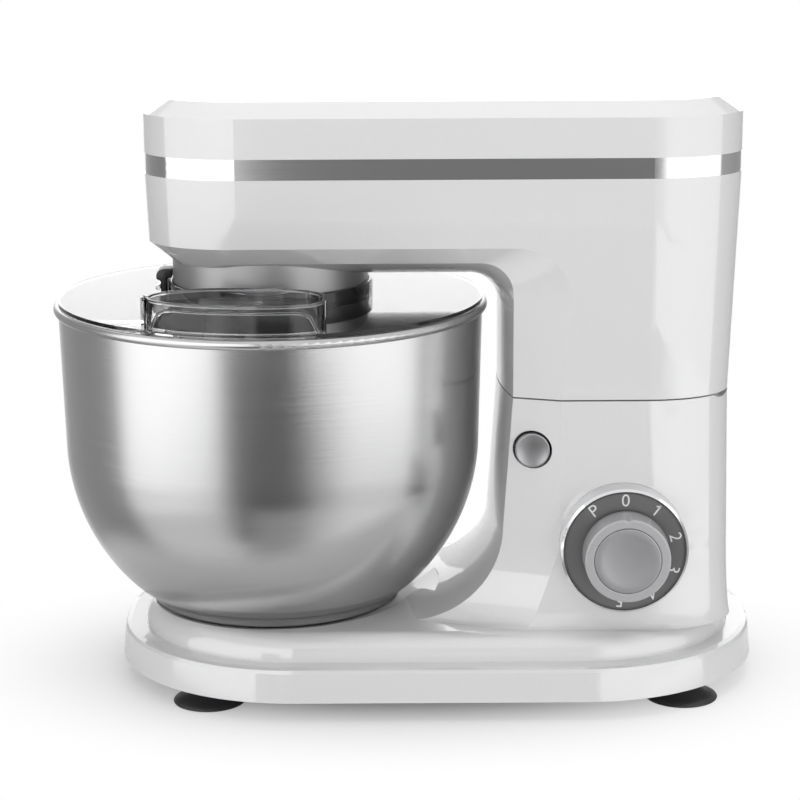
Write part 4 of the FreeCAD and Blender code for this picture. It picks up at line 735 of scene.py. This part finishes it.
# Release button with its spring, latch bar and guide: a satin metal button, dished in front and
# hollow behind for its spring, that is pushed in to draw the latch from the catch of the head.
# The latch bar and its guide are black nylon.
button_satin = metal(
    "button_satin",
    colour=(0.42, 0.42, 0.43),
    roughness=(0.3, 0.4),
    stretch=(300, 300, 300),
    shift=0.06,
    bump=0.02,
)
BUTTON_RADIUS = 9.1
STEM_RADIUS = 3
STEM_LENGTH = 33.4
POCKET_RADIUS = 7
POCKET_FLOOR = 37.8
BUTTON_PROFILE = millimetres(
    [
        (0, 0), (STEM_RADIUS, 0), (STEM_RADIUS, POCKET_FLOOR), (POCKET_RADIUS, POCKET_FLOOR),
        (POCKET_RADIUS, STEM_LENGTH), (BUTTON_RADIUS, STEM_LENGTH), (BUTTON_RADIUS, 40), (9, 40.35),
        (8.75, 40.55), (8.5, 40.6), (8.3, 40.55), (7, 40.2), (4.5, 39.8), (2, 39.65), (0, 39.6),
    ]
)
button_low, button_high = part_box("release_button")
button_x = (button_low[0] + button_high[0]) / 2
button_z = (button_low[2] + button_high[2]) / 2
button_place = Matrix.Translation((button_x, button_high[1], button_z)) @ facing
button_mesh = lathe("dished_button", BUTTON_PROFILE, KNOB_STEPS, button_place)
stand("dished_button", button_mesh, button_satin, "button_body", "brushed_trim", "release_button")
dress(shaft_steel, "button_spring")
dress(black_nylon, "latch_bar", "latch_guide")

# Hinge pin and catch: a ground steel pin through the ears of the base, and the nylon hook
# under the head that the latch holds.
dress(shaft_steel, "hinge_pin")
dress(black_nylon, "head_catch")

# Head lower housing: the beam and the upper half of the column in one moulding, lacquered the
# same white. It turns on the hinge pin at the rear of the column.
dress(body_white, "head_lower_housing")

# Motor: laminated stator and armature on a nylon frame, copper commutator with two brushes,
# a fan, ball bearings and a small alloy pulley.
dress(black_nylon, "motor_frame", "motor_brushes", "cooling_fan")
dress(shaft_steel, "motor_stator", "armature_core", "motor_shaft", "motor_bearings")
copper = metal(
    "copper",
    colour=(0.75, 0.42, 0.26),
    roughness=(0.25, 0.35),
    stretch=(500, 500, 1200),
)
dress(copper, "commutator")
cast_alloy = metal(
    "cast_alloy",
    colour=(0.62, 0.63, 0.64),
    roughness=(0.4, 0.55),
    stretch=(700, 700, 700),
    bump=0.2,
)
dress(cast_alloy, "motor_pulley")

# Drive: a rubber belt to the large pulley, and a two-stage gear train in a cast box that is
# screwed to the floor of the beam.
dress(black_rubber, "drive_belt")
dress(cast_alloy, "driven_pulley", "gearbox_housing", "gearbox_cover")
dress(shaft_steel, "jackshaft", "jackshaft_bearings", "main_bearings", "main_shaft")
dress(pale_plastic, "pinion", "main_gear")

# Planetary drive and beater: steel ring gear and planet in an alloy carrier, with a cast flat
# beater on the planet's shaft.
dress(cast_alloy, "planet_carrier", "beater")
dress(shaft_steel, "ring_gear", "planet_gear", "planet_shaft")

# Trim band and top cover: a bright rolled band let into the joint of the head, and the white
# lid with its bevelled roof, snapped on over it.
trim_bright = metal(
    "trim_bright",
    colour=(0.66, 0.66, 0.67),
    roughness=(0.08, 0.12),
    stretch=(8, 8, 1800),
    shift=0.08,
    bump=0.02,
)
dress(trim_bright, "trim_band")
dress(body_white, "head_top_cover")

# Neck ring: a satin sleeve of spun metal round the planetary drive. Below it, a thin black ring in the gap
# inside the collar of the guard is painted shade: the dark band where shade falls under the neck.
neck_satin = metal(
    "neck_satin",
    colour=(0.4, 0.4, 0.405),
    roughness=(0.42, 0.5),
    stretch=(260, 260, 12),
    shift=0.08,
    bump=0.02,
)
dress(neck_satin, "neck_ring")
BAND_INNER = 0.05302
BAND_OUTER = 0.05345
BAND_RISE = 0.0006
BAND_HEIGHT = 0.0098
BAND_SHOULDER = 0.98
BAND_STEPS = 128
neck_low, neck_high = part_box("neck_ring")
axis_x = (neck_low[0] + neck_high[0]) / 2
guard_low, guard_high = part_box("splash_guard")
# Painted shade: a black ring, thin enough for the gap between neck and collar, that darkens the band under
# the neck.
band_mesh = lathe(
    "painted_shade_band",
    [
        (BAND_INNER, 0),
        (BAND_OUTER, 0),
        (BAND_OUTER, BAND_HEIGHT * BAND_SHOULDER),
        ((BAND_INNER + BAND_OUTER) / 2, BAND_HEIGHT),
        (BAND_INNER, BAND_HEIGHT),
    ],
    BAND_STEPS,
    Matrix.Translation((axis_x, 0, guard_low[2] + BAND_RISE)),
)
stand("painted_shade_band", band_mesh, black_nylon, "head", "black_plastic")

# Splash guard: one clear moulding, a flat ring that lies on the rim of the bowl, with a tall
# collar round the neck and a feed chute at the near side. Its edges are thickened to beads.
clear_plastic = moulded(
    "clear_plastic",
    colour=(0.8, 0.8, 0.805),
    roughness=(0.02, 0.05),
    shift=0.02,
    bump=0.004,
    sockets={"Transmission Weight": 1.0, "IOR": 1.42},
)
GUARD_THICK = 0.002
GUARD_RADIUS = 0.1155
COLLAR_BORE = 0.0536
COLLAR_HEIGHT = 0.0105
CHUTE_MIDDLE = -0.0135
CHUTE_HALF = 0.0465
CHUTE_BACK_HALF = 0.024
CHUTE_REACH = 0.112
CHUTE_WAIST = -0.075
CHUTE_BACK = -0.06
CHUTE_CORNERS = (0.014, 0.012, 0.016)
CHUTE_RAISE = 0.0022
FRONT_STEPS = 24
FRONT_TURN = 6
RIM_STEPS = 160
COLLAR_STEPS = 96
WALL_EDGE = 0.0006
EDGE_ROUND = 0.3
WALL_CREASE = 30
LEVEL_FACE = 0.999
guard_z = guard_low[2]
chute_top = guard_high[2] + CHUTE_RAISE


def round_off(before, corner, after, radius, steps=8):
    """Points of a curve that rounds a corner of a plan, starting and ending a radius from it."""
    start = corner + (before - corner).normalized() * radius
    end = corner + (after - corner).normalized() * radius
    shares = [step / steps for step in range(steps + 1)]
    return [start * (1 - t) ** 2 + corner * 2 * t * (1 - t) + end * t**2 for t in shares]


def front_point(x):
    """A point on the front of the chute, which follows the rim of the bowl."""
    return Vector((x, -math.sqrt(CHUTE_REACH**2 - x**2)))


chute_left = CHUTE_MIDDLE - CHUTE_HALF
chute_right = CHUTE_MIDDLE + CHUTE_HALF
front_step = (chute_right - chute_left) / FRONT_STEPS
front_line = [front_point(chute_left + front_step * step) for step in range(FRONT_STEPS + 1)]
waist_right = Vector((chute_right, CHUTE_WAIST))
waist_left = Vector((chute_left, CHUTE_WAIST))
back_right = Vector((CHUTE_MIDDLE + CHUTE_BACK_HALF, CHUTE_BACK))
back_left = Vector((CHUTE_MIDDLE - CHUTE_BACK_HALF, CHUTE_BACK))
front_round, waist_round, back_round = CHUTE_CORNERS
chute_loop = round_off(waist_left, front_line[0], front_line[FRONT_TURN], front_round)
chute_loop += [point for point in front_line if abs(point.x - CHUTE_MIDDLE) < CHUTE_HALF - front_round]
chute_loop += round_off(front_line[-1 - FRONT_TURN], front_line[-1], waist_right, front_round)
chute_loop += round_off(front_line[-1], waist_right, back_right, waist_round)
chute_loop += round_off(waist_right, back_right, back_left, back_round)
chute_loop += round_off(back_right, back_left, waist_left, back_round)
chute_loop += round_off(back_left, waist_left, front_line[0], waist_round)


def inward_of(loop):
    """For each point of a closed loop that runs anticlockwise, the direction to its inside."""
    directions = []
    for index in range(len(loop)):
        along = (loop[(index + 1) % len(loop)] - loop[index - 1]).normalized()
        directions.append(Vector((-along.y, along.x)))
    return directions


def wall_round(name, loop, section):
    """A closed wall that follows a loop; the section gives how far in and how high its corners are."""
    directions = inward_of(loop)
    shape = bmesh.new()
    rails = []
    for depth, height in section:
        rails.append(
            [
                shape.verts.new((axis_x + point.x + way.x * depth, point.y + way.y * depth, height))
                for point, way in zip(loop, directions)
            ]
        )
    for lower, upper in zip(rails, rails[1:] + rails[:1]):
        for index in range(len(loop)):
            after = (index + 1) % len(loop)
            shape.faces.new((lower[index], lower[after], upper[after], upper[index]))
    bmesh.ops.recalc_face_normals(shape, faces=shape.faces)
    return mesh_of(name, shape)


def wall_section(top):
    """Section of a wall that starts inside the flat ring and has a rounded top."""
    foot = guard_z + GUARD_THICK / 2
    bend = WALL_EDGE * EDGE_ROUND
    return [
        (0, foot),
        (0, top - WALL_EDGE),
        (bend, top - bend),
        (WALL_EDGE, top),
        (GUARD_THICK - WALL_EDGE, top),
        (GUARD_THICK - bend, top - bend),
        (GUARD_THICK, top - WALL_EDGE),
        (GUARD_THICK, foot),
    ]


plate = bmesh.new()
chute_hole = [point + way * GUARD_THICK for point, way in zip(chute_loop, inward_of(chute_loop))]
for loop in (circle(GUARD_RADIUS, RIM_STEPS), circle(COLLAR_BORE, COLLAR_STEPS), chute_hole):
    ring = [plate.verts.new((axis_x + point.x, point.y, guard_z)) for point in loop]
    for index, vertex in enumerate(ring):
        plate.edges.new((vertex, ring[(index + 1) % len(ring)]))
bmesh.ops.triangle_fill(plate, edges=plate.edges, use_beauty=True)
raised = bmesh.ops.extrude_face_region(plate, geom=plate.faces[:])
top_verts = [item for item in raised["geom"] if isinstance(item, bmesh.types.BMVert)]
bmesh.ops.translate(plate, verts=top_verts, vec=(0, 0, GUARD_THICK))
bmesh.ops.recalc_face_normals(plate, faces=plate.faces)
guard_maker = linked("guard_maker", mesh_of("guard_plate", plate))
chute_wall = wall_round("chute_wall", chute_loop, wall_section(chute_top))
collar_loop = circle(COLLAR_BORE + GUARD_THICK, COLLAR_STEPS)
collar_wall = wall_round("collar_wall", collar_loop, wall_section(guard_z + COLLAR_HEIGHT))
helpers = []
for wall in (chute_wall, collar_wall):
    helper = linked(wall.name, wall)
    joined = guard_maker.modifiers.new(wall.name, "BOOLEAN")
    joined.operation = "UNION"
    joined.solver = "EXACT"
    joined.object = helper
    helpers.append(helper)
guard_mesh = settled(guard_maker)
for helper in helpers:
    bpy.data.objects.remove(helper)
soften(guard_mesh, WALL_CREASE)
for face in guard_mesh.polygons:
    face.use_smooth = abs(face.normal.z) < LEVEL_FACE
stand("clear_guard", guard_mesh, clear_plastic, "head", "clear_guard", "splash_guard")

# Beads of the guard: the thickened lip of the chute and the frame moulded on its front wall.
# Each follows its path with a round section.
BEAD_RADIUS = 0.0009
BEAD_SIDES = 10
bead_tree, bead_in, bead_out = geometry_tree("bead_on_path", ["Bead Radius"])
path = bead_tree.nodes.new("GeometryNodeMeshToCurve")
bead_tree.links.new(bead_in.outputs["Geometry"], path.inputs["Mesh"])
section = bead_tree.nodes.new("GeometryNodeCurvePrimitiveCircle")
section.inputs["Resolution"].default_value = BEAD_SIDES
bead_tree.links.new(bead_in.outputs["Bead Radius"], section.inputs["Radius"])
tube = bead_tree.nodes.new("GeometryNodeCurveToMesh")
tube.inputs["Fill Caps"].default_value = True
bead_tree.links.new(path.outputs[0], tube.inputs["Curve"])
bead_tree.links.new(section.outputs[0], tube.inputs["Profile Curve"])
coated_end(bead_tree, bead_in, bead_out, tube.outputs[0])

FRAME_RISE = 0.0105
FRAME_RUN = 0.011
frame_line = []
for point in front_line[1:-1]:
    inset = min(point.x - front_line[1].x, front_line[-2].x - point.x)
    share = min(inset / FRAME_RUN, 1)
    height = guard_z + GUARD_THICK + FRAME_RISE * math.sqrt(1 - (1 - share) ** 2)
    frame_line.append((axis_x + point.x, point.y, height))
lip_line = [
    (axis_x + point.x + way.x * GUARD_THICK / 2, point.y + way.y * GUARD_THICK / 2, chute_top - BEAD_RADIUS)
    for point, way in zip(chute_loop, inward_of(chute_loop))
]
edges = [(index, index + 1) for index in range(len(frame_line) - 1)]
lip_start = len(frame_line)
lip_count = len(lip_line)
edges += [(lip_start + index, lip_start + (index + 1) % lip_count) for index in range(lip_count)]
path_mesh = bpy.data.meshes.new("bead_paths")
path_mesh.from_pydata(frame_line + lip_line, edges, [])
bead_mesh = grown("guard_beads", path_mesh, bead_tree, {"Bead Radius": BEAD_RADIUS, "Finish": clear_plastic})
soften(bead_mesh)
beads = linked("guard_beads", bead_mesh)
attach(beads, "head")

# Guard clip: a black nylon hook over the collar at the left of the neck. It is moulded in one
# piece with rounded edges and turns on a small steel pin.
CLIP_HALF = 0.0065
CLIP_EDGE = 0.0008
CLIP_CREASE = 50
CLIP_OUTLINE = millimetres(
    [
        (-0.4, 11.6), (-0.4, 15.7), (-1.6, 16.7), (-5.6, 16.7), (-7.8, 15.7), (-8.9, 13.7), (-8.9, 11.1),
        (-6.6, 10.3), (-6.4, 2.2), (-3.1, 2.2), (-3.1, 11.6),
    ]
)
PIN_PROFILE = millimetres([(0, -7.4), (1, -7.4), (1.4, -7), (1.4, 7), (1, 7.4), (0, 7.4)])
PIN_STEPS = 32
PIN_PLACE = (-0.0078, 0.0068)
clip_x = neck_low[0]
hook = bmesh.new()
outline = [hook.verts.new((clip_x + x, -CLIP_HALF, guard_z + z)) for x, z in CLIP_OUTLINE]
pulled = bmesh.ops.extrude_face_region(hook, geom=[hook.faces.new(outline)])
far_side = [item for item in pulled["geom"] if isinstance(item, bmesh.types.BMVert)]
bmesh.ops.translate(hook, verts=far_side, vec=(0, 2 * CLIP_HALF, 0))
bmesh.ops.recalc_face_normals(hook, faces=hook.faces)
bmesh.ops.bevel(
    hook, geom=hook.edges[:], offset=CLIP_EDGE, segments=3, profile=0.5, affect="EDGES", clamp_overlap=True
)
clip_mesh = mesh_of("guard_hook", hook)
soften(clip_mesh, CLIP_CREASE)
stand("guard_hook", clip_mesh, black_nylon, "head", "black_plastic", "guard_clip")
pin_place = Matrix.Translation((clip_x + PIN_PLACE[0], 0, guard_z + PIN_PLACE[1])) @ facing
pin_mesh = lathe("clip_pin", PIN_PROFILE, PIN_STEPS, pin_place)
stand("clip_pin", pin_mesh, bezel_bright, "head", "brushed_trim")

# Bowl and foot ring: deep-drawn stainless steel with a rolled rim, brushed round and round,
# with a welded bayonet ring under it and a rounded edge where it comes down on the deck.
bowl_steel = metal(
    "bowl_steel",
    colour=(0.53, 0.53, 0.532),
    roughness=(0.2, 0.27),
    stretch=(8, 8, 2600),
    sockets={"Anisotropic": 0.6},
)
dress(bowl_steel, "bowl", "bowl_foot_ring")
FOOT_EDGE = millimetres(
    [
        (73.55, 46), (72.2, 45), (71, 44), (70.1, 43), (69.4, 42), (68.8, 41), (68.4, 40.2), (68.1, 39.8),
        (67.6, 39.6), (60, 39.6), (61.5, 40.6), (66.3, 42.5), (71, 45),
    ]
)
foot_mesh = lathe("bowl_foot_edge", FOOT_EDGE, RIM_STEPS, Matrix.Translation((axis_x, 0, 0)))
stand("bowl_foot_edge", foot_mesh, bowl_steel, "bowl_body", "steel_bowl")
